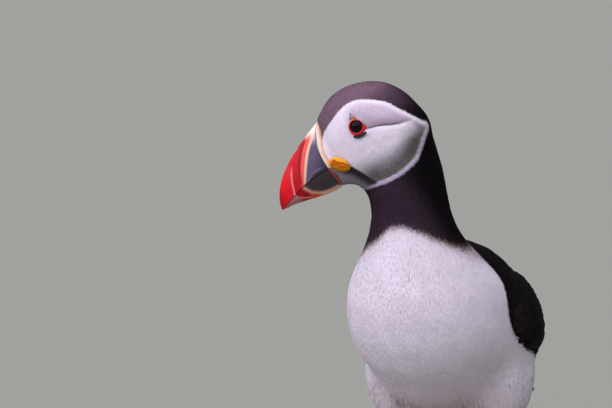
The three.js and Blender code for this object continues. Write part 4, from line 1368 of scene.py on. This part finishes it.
# The pale line along the upper mandible's cutting edge is a painted highlight.
PALE_SLATE, SLATE_EDGE_HIGHLIGHT = (0.66, 0.58, 0.68), (0.26, 0.21, 0.33)
BAND_ORANGE, LOW_ORANGE = (0.82, 0.27, 0.14), (0.80, 0.24, 0.10)
BAND_LIGHT, BAND_PALE = (0.80, 0.13, 0.12), (0.88, 0.76, 0.70)
GROOVE_PALE, LOWER_GROOVE_PALE = (0.80, 0.38, 0.36), (0.62, 0.24, 0.20)
LOWER_PALE, LOWER_ORANGE, LOWER_CREAM = (0.62, 0.33, 0.25), (0.72, 0.10, 0.03), (0.70, 0.35, 0.26)
# The lower tip's own pink, dulled by a painted reflection.
LOWER_TIP_AND_REFLECTION, LOWER_BASE = (0.36, 0.17, 0.19), (0.42, 0.075, 0.020)
RIDGE_SKIN, RIDGE_PALE = (0.62, 0.26, 0.14), (0.82, 0.72, 0.64)


def bill_width(share):
    """Half the bill's width at a share of its length."""
    return BILL_TIP_WIDTH + (BILL_WIDTH - BILL_TIP_WIDTH) * (1 - share**BILL_TAPER)


def bill_flare(share, edge):
    """Share of the full width, from the narrow edge to the closing line, with the edge rounded off."""
    round_off = np.sqrt(np.clip(1 - (1 - np.minimum(share / EDGE_ROUNDING, 1)) ** 2, 0, 1))
    return (edge + (1 - edge) * np.sin(math.pi / 2 * share) ** 0.9) * round_off


def edge_steps(count):
    """Shares from a narrow edge to the closing line, close together where the edge is rounded off."""
    return np.r_[0, np.linspace(0.004, EDGE_ROUNDING, 6), np.linspace(0.1, 1, count)]


def bow(share, most):
    """How far a line across the bill bows forwards at a share of its length."""
    return most * 4 * share * (1 - share)


def closed_loft(title, rings):
    """A closed skin over rings of equal size, in the head's frame, with a face over each end."""
    rings = np.asarray(rings)
    count, size = rings.shape[:2]
    points = from_head(rings.reshape(-1, 3))
    bm = bmesh.new()
    verts = [bm.verts.new(Vector((p + SHIFT) * MM)) for p in points]
    turns = [verts[i * size:(i + 1) * size] for i in range(count)]
    for here, onward in zip(turns, turns[1:]):
        for k in range(size):
            n = (k + 1) % size
            bm.faces.new((here[k], here[n], onward[n], onward[k]))
    bm.faces.new(turns[0])
    bm.faces.new(turns[-1][::-1])
    bmesh.ops.remove_doubles(bm, verts=bm.verts, dist=0.02 * MM)
    bmesh.ops.triangulate(bm, faces=[f for f in bm.faces if len(f.verts) > 4])
    bmesh.ops.recalc_face_normals(bm, faces=bm.faces)
    mesh = bpy.data.meshes.new(title)
    bm.to_mesh(mesh)
    bm.free()
    return new_object(title, mesh)


def bill_ring(forward, wide, up, tuck=0.0):
    """A closed ring round a mandible, from its narrow edge. The tuck moves the middle of its other edge up."""
    left = np.stack([np.r_[forward, forward[-1]], np.r_[wide, 0], np.r_[up, up[-1] + tuck]], axis=1)
    return np.concatenate([left, (left * [1, -1, 1])[-2:0:-1]])


def carve_bill(obj, lines, depth, width):
    """Sinks grooves into a bill's sides along lines in side view."""
    points = corners_of(obj.data)
    seen = side_view(to_head(points))
    sink = np.zeros(len(points))
    for line in lines:
        sink = np.maximum(sink, depth * near_line(seen, line, width))
    set_corners(obj.data, points - normals_of(obj.data) * sink[:, None])


def upper_colour(seen):
    """Colours of the upper mandible in side view: a slate plate, the pale band and the grooved red front."""
    horn = bpy.context.scene.puffin_horn
    forward, up = seen.T
    behind = beyond_line(seen, BAND_BACK)
    ahead = beyond_line(seen, BAND_FRONT)
    slate = mixed(horn.slate, shade(horn.slate, 0.45), smooth(2.5, 9.5, -behind) * smooth(5, -4, up))
    slate = mixed(slate, PALE_SLATE, 0.9 * smooth(1.5, 7.0, up))
    # The dark edge of the upper mandible above the gape, with a pale line along it that is a painted
    # highlight.
    slate = mixed(slate, SLATE_EDGE_HIGHLIGHT, 0.7 * near_line(seen, TOMIUM[2:], 0.4))
    slate = mixed(slate, horn.lower_slate, smooth(0.2, -0.25, beyond_line(seen, TOMIUM)))
    share = np.clip(behind / np.maximum(behind - ahead, 0.1), 0, 1)
    band = mixed(horn.cream, BAND_ORANGE, smooth(0.35, 1.0, share))
    band = mixed(band, LOW_ORANGE, 0.7 * smooth(-10, -13.5, up))
    band = mixed(band, horn.cream, smooth(3, 7, up))
    red = mixed(horn.red, BAND_LIGHT, 0.8 * bell(ahead - 1.0, 0.8))
    deep = smooth(-0.3, 0.4, beyond_line(seen, GROOVES[0])) * smooth(1.2, -1.6, beyond_line(seen, GROOVES[1]))
    red = mixed(red, shade(horn.red, 0.62), 0.8 * deep)
    colour = mixed(band, red, smooth(-0.25, 0.35, ahead))
    colour = mixed(slate, colour, smooth(-0.15, 0.2, behind))
    colour = mixed(colour, BAND_PALE, 0.85 * smooth(5.5, 8.2, up))
    colour = mixed(colour, shade(horn.red, 0.25), 0.8 * near_line(seen, GROOVES[0], 0.4))
    colour = mixed(colour, GROOVE_PALE, 0.75 * near_line(seen, GROOVES[1], 0.36) * smooth(-1.5, -6, up))
    colour = mixed(colour, shade(horn.red, 0.4), 0.8 * smooth(46, 51.5, forward))
    return mixed(colour, SEAM, 0.8 * near_line(seen, bezier(CLOSING, np.linspace(0, 1, 24)), 0.22))


def lower_colour(seen):
    """Colours of the lower mandible in side view: a dark plate with a pale band round it, and a red front."""
    horn = bpy.context.scene.puffin_horn
    forward, up = seen.T
    red = mixed(shade(horn.red, 0.5), LOWER_PALE, smooth(33.5, 29.5, forward))
    colour = mixed(horn.lower_slate, red, smooth(-0.3, 0.3, beyond_line(seen, LOWER_BAND)))
    colour = mixed(colour, LOWER_ORANGE, 0.6 * near_line(seen, LOWER_MARK, 0.8))
    colour = mixed(colour, LOWER_CREAM, 0.85 * near_line(seen, LOWER_BAND, 0.75))
    colour = mixed(colour, LOWER_GROOVE_PALE, 0.8 * near_line(seen, LOWER_GROOVE, 0.4))
    # Beyond the groove the tip is its own pink dulled by a painted reflection.
    tip = smooth(-0.3, 0.6, beyond_line(seen, LOWER_GROOVE)) * smooth(40, 43, forward)
    colour = mixed(colour, LOWER_TIP_AND_REFLECTION, 0.85 * tip)
    colour = mixed(colour, LOWER_BASE, smooth(1.1, 0.5, forward - read_off(up, LOWER_REAR)))
    return mixed(colour, SEAM, 0.8 * near_line(seen, bezier(CLOSING, np.linspace(0, 1, 24)), 0.3))


class PUFFIN_OT_bill(bpy.types.Operator):
    """Build the upper and lower mandibles with their bands and grooves, and the pale ridge at the base"""

    bl_idname = "puffin.bill"
    bl_label = "Bill"

    def upper(self, material):
        lines = along_curve(BILL_LINES[:, [1, 0, 2]] * [BILL_LENGTH, BILL_LENGTH, 1], 84)
        down = edge_steps(30)
        top = bezier(CULMEN, np.clip(lines[:, 1] / BILL_LENGTH, 0, 1))
        bottom = bezier(CLOSING, np.clip(lines[:, 0] / BILL_LENGTH, 0, 1))
        rings = []
        for i, (closing, _, most) in enumerate(lines):
            spot = top[i] + (bottom[i] - top[i]) * down[:, None]
            wide = bill_width(closing / BILL_LENGTH) * bill_flare(down, 0.26)
            rings.append(bill_ring(spot[:, 0] + bow(down, most), wide, spot[:, 1], tuck=0.25))
        bill = closed_loft("upper_mandible", rings)
        carve_bill(bill, GROOVES, 0.38, 0.55)
        carve_bill(bill, [BAND_BACK], 0.16, 0.5)
        write_values(bill.data, "horn", upper_colour(seen_corners(bill.data)))
        finish_piece(bill, material, ("bill_upper",), angle=45)

    def lower(self, material):
        share = np.linspace(0, 0.97, 70)
        top = bezier(CLOSING, share)
        top[:, 0] -= 0.6 * (1 - share)
        top[:, 1] -= 0.15
        bottom = bezier(KEEL, share)
        bottom[:, 1] = np.minimum(bottom[:, 1], top[:, 1] - 0.5)
        rise = edge_steps(24)
        rings = []
        for i in range(len(share)):
            spot = bottom[i] + (top[i] - bottom[i]) * rise[:, None]
            wide = bill_width(share[i]) * 0.96 * bill_flare(rise, 0.42)
            rings.append(bill_ring(spot[:, 0], wide, spot[:, 1], tuck=-0.2))
        bill = closed_loft("lower_mandible", rings)
        carve_bill(bill, [LOWER_GROOVE], 0.35, 0.5)
        write_values(bill.data, "horn", lower_colour(seen_corners(bill.data)))
        finish_piece(bill, material, ("bill_lower",), angle=45)

    def ridge(self, material):
        down = edge_steps(40)
        front = np.array(CULMEN[0]) * (1 - down[:, None]) + np.array(CLOSING[0]) * down[:, None]
        front[:, 0] += bow(down, 2.6)
        up = 10.4 - down * 22.0
        back = np.stack([ridge_rear(up), up], axis=1)
        back[:, 0] -= 0.5 * smooth(4, 11, up)
        rings = []
        for share, proud in along_curve(RIDGE_PROFILE, 24):
            spot = back + (front - back) * share
            wide = (BILL_WIDTH + proud) * bill_flare(down, 0.28)
            rings.append(bill_ring(spot[:, 0], wide, spot[:, 1] + proud * 0.5 * smooth(0.12, 0.0, down)))
        ridge = closed_loft("bill_base_ridge", rings)
        points = corners_of(ridge.data)
        forward, up = seen_corners(ridge.data).T
        gap = forward - ridge_rear(up)
        colour = mixed(RIDGE_SKIN, bpy.context.scene.puffin_horn.cream, smooth(0.4, 1.3, gap))
        colour = mixed(colour, RIDGE_PALE, smooth(1.2, 2.4, gap) * 0.7)
        write_values(ridge.data, "horn", colour)
        set_corners(ridge.data, points + normals_of(ridge.data) * (0.10 * mottle(points, 1.6, 5))[:, None])
        finish_piece(ridge, material, ("bill_ridge",), angle=60)

    def execute(self, context):
        horn = grained_material(
            "Bill horn", "horn", grain=0.7, blotch=4.0, variation=0.22, roughness=0.34, bump=0.10,
            Specular_IOR_Level=0.16, Coat_Weight=0.03, Coat_Roughness=0.2)
        ridge = grained_material(
            "Ridge horn", "horn", grain=0.6, blotch=2.5, variation=0.2, roughness=0.55, bump=0.25,
            Specular_IOR_Level=0.25)
        self.upper(horn)
        self.lower(horn)
        self.ridge(ridge)
        return {"FINISHED"}


# ---- Eyes, plates and rosettes ----

# How far each horny plate is moved to lie against the lid, and how much of its size it keeps.
PLATE_SHIFT = {"under_plate": (1.22, -0.2, 0.05), "brow_plate": (1.75, -0.15, -0.6)}
PLATE_SIZE = {"under_plate": (0.95, 1, 0.7), "brow_plate": (0.6, 1, 0.95)}
PLATE_PALE = (0.5, 0.46, 0.55)
PUPIL, IRIS, IRIS_RIM = (0.0006, 0.0005, 0.0008), (0.010, 0.007, 0.010), (0.003, 0.001, 0.001)
LID_DARK, SPUR_ORANGE = (0.36, 0.008, 0.008), (0.70, 0.16, 0.012)
# The darker side of each rosette across its fold is painted shade.
ROSETTE_ORANGE, ROSETTE_PAINTED_SHADE, WRINKLE = (0.60, 0.155, 0.004), (0.42, 0.17, 0.004), (0.30, 0.055, 0.004)


def eye_place(sign):
    """Turns and moves things from an eye's own frame, where +Z looks out, to where it is on the bird."""
    side = np.array([1, sign, 1])
    out = HEAD_AXES @ (EYE_LOOK * side)
    ahead = HEAD_AXES @ np.array([1.0, 0, 0])
    ahead = unit(ahead - (ahead @ out) * out)
    above = np.cross(out, ahead)
    if above @ HEAD_AXES[:, 2] < 0:
        above = -above
    return from_head((EYE_AT * side)[None, :])[0], np.stack([ahead, above, out], axis=1)


def raw_points(obj):
    return rows_of(obj.data.vertices, "co")


def place_in_eye(obj, points, sign):
    """Gives a mesh its points in millimetres from the middle of an eye: x ahead, y above and z out."""
    middle, axes = eye_place(sign)
    set_corners(obj.data, points @ axes.T + middle)
    on_all(obj, bpy.ops.mesh.normals_make_consistent, inside=False)


class PUFFIN_OT_eyes(bpy.types.Operator):
    """Set the eyeballs and the red lids that ring them"""

    bl_idname = "puffin.eyes"
    bl_label = "Eyes"

    def execute(self, context):
        horn = context.scene.puffin_horn
        ball_material = grained_material(
            "Eyeball", "iris", grain=0.25, blotch=1.0, variation=0.3, roughness=0.10, bump=0.0,
            Specular_IOR_Level=0.10)
        lid_material = grained_material(
            "Eyelid skin", "lid", grain=0.35, blotch=1.5, variation=0.25, roughness=0.42, bump=0.35,
            Specular_IOR_Level=0.2, Subsurface_Weight=0.05)
        for side, sign in SIDES:
            deselect()
            bpy.ops.mesh.primitive_uv_sphere_add(
                segments=72, ring_count=48, radius=EYE_RADIUS, location=(0, 0, 0))
            ball = bpy.context.object
            ball.name = ball.data.name = "eyeball_" + side
            points = raw_points(ball)
            aside = np.hypot(points[:, 0], points[:, 1])
            points[:, 2] += 0.15 * smooth(3.2, 0.0, aside) * (points[:, 2] > 0)  # the clear front bulges
            iris = mixed(PUPIL, IRIS, smooth(1.1, 1.4, aside))
            iris = mixed(iris, IRIS_RIM, smooth(2.2, 2.7, aside))
            write_values(ball.data, "iris", iris)
            place_in_eye(ball, points, sign)
            finish_piece(ball, ball_material, ("eye_" + side,))

            deselect()
            bpy.ops.mesh.primitive_torus_add(
                major_segments=144, minor_segments=20, major_radius=RING_RADIUS, minor_radius=1.0,
                location=(0, 0, 0))
            lid = bpy.context.object
            lid.name = lid.data.name = "eyelid_" + side
            points = raw_points(lid)
            angle = np.arctan2(points[:, 1], points[:, 0])
            out = (np.hypot(points[:, 0], points[:, 1]) - RING_RADIUS + 1) / 2  # 0 at the inner edge
            wide = lid_width(angle)
            radius = LID_INNER + out * wide
            fold = 0.07 * np.sin(angle * 17) * smooth(0.3, 0.8, out) * smooth(0.9, 1.3, wide)
            high = points[:, 2] * np.where(points[:, 2] > 0, 0.48 - 0.18 * out * smooth(1, 2.5, wide), 1.0)
            spur = bell(np.degrees(angle) - SPUR_ANGLE, 16)
            lift = LID_LIFT + 0.45 * spur * smooth(0.2, 0.7, out) + high + fold
            lift = lift - np.maximum(radius**2 - LID_INNER**2, 0) / 36  # with the curve of the head
            points = np.stack([radius * np.cos(angle), radius * np.sin(angle), lift], axis=1)
            tone = mixed(horn.eyelid, LID_DARK, smooth(0.7, 0.45, wide))
            tone = mixed(tone, SPUR_ORANGE, spur)
            write_values(lid.data, "lid", tone)
            place_in_eye(lid, points, sign)
            finish_piece(lid, lid_material, ("eye_ring_" + side,))
        return {"FINISHED"}


class PUFFIN_OT_face(bpy.types.Operator):
    """Finish the horny plates by the eyes and the wrinkled rosettes at the gape"""

    bl_idname = "puffin.face"
    bl_label = "Plates and rosettes"

    def execute(self, context):
        horn = context.scene.puffin_horn
        plate_material = grained_material(
            "Plate horn", "horn", grain=0.4, blotch=2.0, variation=0.3, roughness=0.5, bump=0.4,
            Specular_IOR_Level=0.2)
        rosette_material = grained_material(
            "Rosette skin", "rosette", grain=0.5, blotch=2.5, variation=0.2, roughness=0.45, bump=0.3,
            Specular_IOR_Level=0.15, Subsurface_Weight=0.06)
        for side, sign in SIDES:
            for part in ("brow_plate", "under_plate"):
                plate = merged_copy([f"{part}_{side}"], f"horn_{part}_{side}")
                one_surface(plate, swell=0.25, voxel=0.16, passes=7)
                head = to_head(corners_of(plate.data))
                middle = head.mean(axis=0)
                head = middle + (head - middle) * np.array(PLATE_SIZE[part])
                set_corners(plate.data, from_head(head + PLATE_SHIFT[part] * np.array([1, sign, 1])))
                tone = mixed(horn.plate if part == "under_plate" else horn.brow, PLATE_PALE,
                             0.25 * mottle(head, 0.6, 4) * (part == "brow_plate"))
                write_values(plate.data, "horn", tone)
                finish_piece(plate, plate_material, (f"{part}_{side}",))
            rosette = merged_copy(["rosette_" + side], "gape_rosette_" + side)
            one_surface(rosette, swell=0.2, voxel=0.2, passes=10)
            head = to_head(corners_of(rosette.data))
            turned = np.array(Matrix.Rotation(math.radians(-8), 2))
            run = (side_view(head) - [15.8, -11.8]) @ turned.T
            head[:, [0, 2]] = run + [16.4, -11.9]
            head[:, 1] += 0.5 * sign
            points = from_head(head)
            set_corners(rosette.data, points)
            # Along the fold of the gape and across it.
            cos, sin = math.cos(math.radians(44)), math.sin(math.radians(44))
            long = -run[:, 0] * cos - run[:, 1] * sin
            wide = run[:, 0] * sin - run[:, 1] * cos
            edge = (long / 5.6) ** 2 + (wide / 3.6) ** 2
            groove = bell(wide + 0.6 + 0.3 * np.sin(long * 1.1), 0.34) * smooth(4.3, 3.0, np.abs(long))
            groove += 0.8 * bell(wide - 0.9 - 0.25 * np.sin(long), 0.3) * smooth(3.8, 2.4, np.abs(long - 0.4))
            groove += 0.8 * bell(long + 3.1, 0.36) * smooth(2.4, 1.2, np.abs(wide))
            groove = np.minimum(groove, 1.2)
            pinch = mottle(points, 0.55, 6) * smooth(0.2, 0.8, edge) * smooth(1.2, 0.9, edge)
            lift = 0.2 * smooth(1.1, 0.4, edge) - 0.5 * groove + 0.10 * pinch
            set_corners(rosette.data, points + normals_of(rosette.data) * lift[:, None])
            colour = mixed(horn.yellow, ROSETTE_ORANGE, smooth(-2.2, -0.4, wide) * smooth(1.0, 0.6, edge))
            # The lower side of the rosette across its fold is darkened with painted shade.
            colour = mixed(colour, ROSETTE_PAINTED_SHADE, smooth(0.6, 2.4, wide))
            colour = mixed(colour, WRINKLE, 0.7 * groove)
            write_values(rosette.data, "rosette", colour)
            finish_piece(rosette, rosette_material, ("rosette_" + side,))
        return {"FINISHED"}


# ---- Legs ----

SCUTE_STEP = {"shank": 2.3, "foot": 1.8}  # from one horny scale to the next
SCALE_HEIGHT = 0.14


class PUFFIN_OT_legs(bpy.types.Operator):
    """Finish the shanks, the webbed feet and the claws"""

    bl_idname = "puffin.legs"
    bl_label = "Legs and feet"

    def execute(self, context):
        horn = context.scene.puffin_horn
        skin_material = grained_material(
            "Foot skin", "scales", grain=0.8, blotch=6.0, variation=0.25, roughness=0.45, bump=0.35,
            Subsurface_Weight=0.05)
        claw_material = grained_material(
            "Claw horn", horn.claw, grain=0.5, blotch=3.0, variation=0.35, roughness=0.3, bump=0.2,
            Coat_Weight=0.2, Coat_Roughness=0.2)
        for side, sign in SIDES:
            for part, voxel, passes in (("shank", 0.45, 10), ("foot", 0.42, 5)):
                piece = merged_copy([f"{part}_{side}"], f"scaled_{part}_{side}")
                one_surface(piece, swell=0.12, voxel=voxel, passes=passes)
                points = corners_of(piece.data)
                normals = normals_of(piece.data)
                if part == "shank":
                    run, front = points[:, 2], smooth(0.2, 0.9, -normals[:, 1])
                else:
                    run = np.hypot(points[:, 0] * sign - 26, points[:, 1] - 5)
                    front = smooth(2.0, 2.8, points[:, 2])
                scales = np.cos(run * 2 * math.pi / SCUTE_STEP[part]) * front * (points[:, 2] > 0.6)
                # Darker in the hollows between the scales.
                between_scales = smooth(0.3, -1.0, scales)
                web = smooth(2.6, 1.2, points[:, 2]) * (part == "foot")
                colour = mixed(horn.orange, shade(horn.orange, 0.55), 0.35 * between_scales + 0.35 * web)
                write_values(piece.data, "scales", colour)
                points = points + normals * (SCALE_HEIGHT * scales)[:, None]
                points[:, 2] = np.maximum(points[:, 2], 0.0)
                set_corners(piece.data, points)
                finish_piece(piece, skin_material, (f"{part}_{side}",))
            for toe in ("inner", "middle", "outer"):
                claw = merged_copy([f"claw_{toe}_{side}"], f"horn_claw_{toe}_{side}")
                apply_modifier(claw, "SUBSURF", levels=2, render_levels=2)
                finish_piece(claw, claw_material, (f"claw_{toe}_{side}",))
        return {"FINISHED"}


# ---- Studio ----

CAMERA_AIM = np.array([-68.1, -11.7, 140.5])
CAMERA_AZIMUTH, CAMERA_ELEVATION = math.radians(20), math.radians(5)
CAMERA_DISTANCE = 2.55  # metres


def look_at(obj, target):
    obj.rotation_euler = (Vector(target) - obj.location).to_track_quat("-Z", "Y").to_euler()


class PUFFIN_OT_studio(bpy.types.Operator):
    """Set the floor, the soft lamps and the camera"""

    bl_idname = "puffin.studio"
    bl_label = "Studio"

    def lamp(self, title, kind, place, target, colour, **settings):
        light = bpy.data.lights.new(title, kind)
        light.color = colour
        for key, value in settings.items():
            setattr(light, key, value)
        lamp = new_object(title, light)
        lamp.location = place
        look_at(lamp, target)

    def execute(self, context):
        studio = context.scene.puffin_studio
        deselect()
        bpy.ops.mesh.primitive_plane_add(size=60, location=(0, 0, 0))
        floor = bpy.context.object
        floor.name = "studio_floor"
        floor.data.materials.append(grained_material(
            "Studio floor", studio.floor, grain=20, blotch=400, variation=0.03, roughness=0.9, bump=0.0))
        self.lamp("Key lamp", "SUN", (-0.42, -0.9, 1.7), (0, 0, 0), (1.0, 0.945, 1.03),
                  energy=studio.key_power, angle=math.radians(110))
        self.lamp("Fill lamp", "AREA", (1.6, -1.6, 0.9), (-0.01, -0.04, 0.12), (0.95, 0.98, 1.0),
                  energy=studio.fill_power, shape="DISK", size=1.4)
        world = bpy.data.worlds.new("Studio world")
        context.scene.world = world
        world.use_nodes = True
        background = world.node_tree.nodes["Background"]
        feed(world.node_tree, background, {"Color": (0.93, 0.95, 1.0, 1.0), "Strength": studio.sky})
        context.scene.view_settings.view_transform = "Standard"

        camera = bpy.data.cameras.new("Camera")
        camera.lens = studio.lens
        camera.sensor_width = 36
        camera.clip_end = 100
        holder = new_object("Camera", camera)
        target = (CAMERA_AIM + SHIFT) * MM
        level = math.cos(CAMERA_ELEVATION)
        way = np.array([math.sin(CAMERA_AZIMUTH) * level, -math.cos(CAMERA_AZIMUTH) * level,
                        math.sin(CAMERA_ELEVATION)])
        holder.location = target + way * CAMERA_DISTANCE
        look_at(holder, target)
        context.scene.camera = holder
        return {"FINISHED"}


class PUFFIN_PT_panel(bpy.types.Panel):
    """Lists the puffin's pieces and settings in the sidebar"""

    bl_idname = "PUFFIN_PT_panel"
    bl_label = "Puffin"
    bl_space_type = "VIEW_3D"
    bl_region_type = "UI"
    bl_category = "Puffin"

    def draw(self, context):
        for operator in OPERATORS:
            self.layout.operator(operator.bl_idname)
        scene = context.scene
        for settings in (scene.puffin_plumage, scene.puffin_horn, scene.puffin_studio):
            box = self.layout.box()
            for name in settings.__annotations__:
                box.prop(settings, name)


OPERATORS = (
    PUFFIN_OT_studio, PUFFIN_OT_skin, PUFFIN_OT_coat, PUFFIN_OT_wings, PUFFIN_OT_tail, PUFFIN_OT_bill,
    PUFFIN_OT_eyes, PUFFIN_OT_face, PUFFIN_OT_legs,
)
CLASSES = (PlumageSettings, HornSettings, StudioSettings) + OPERATORS + (PUFFIN_PT_panel,)


def register():
    for cls in CLASSES:
        bpy.utils.register_class(cls)
    bpy.types.Scene.puffin_plumage = PointerProperty(type=PlumageSettings)
    bpy.types.Scene.puffin_horn = PointerProperty(type=HornSettings)
    bpy.types.Scene.puffin_studio = PointerProperty(type=StudioSettings)


def unregister():
    del bpy.types.Scene.puffin_plumage, bpy.types.Scene.puffin_horn, bpy.types.Scene.puffin_studio
    for cls in reversed(CLASSES):
        bpy.utils.unregister_class(cls)


def main():
    register()
    for operator in OPERATORS:
        group, name = operator.bl_idname.split(".")
        getattr(getattr(bpy.ops, group), name)()


if __name__ == "__main__":
    main()
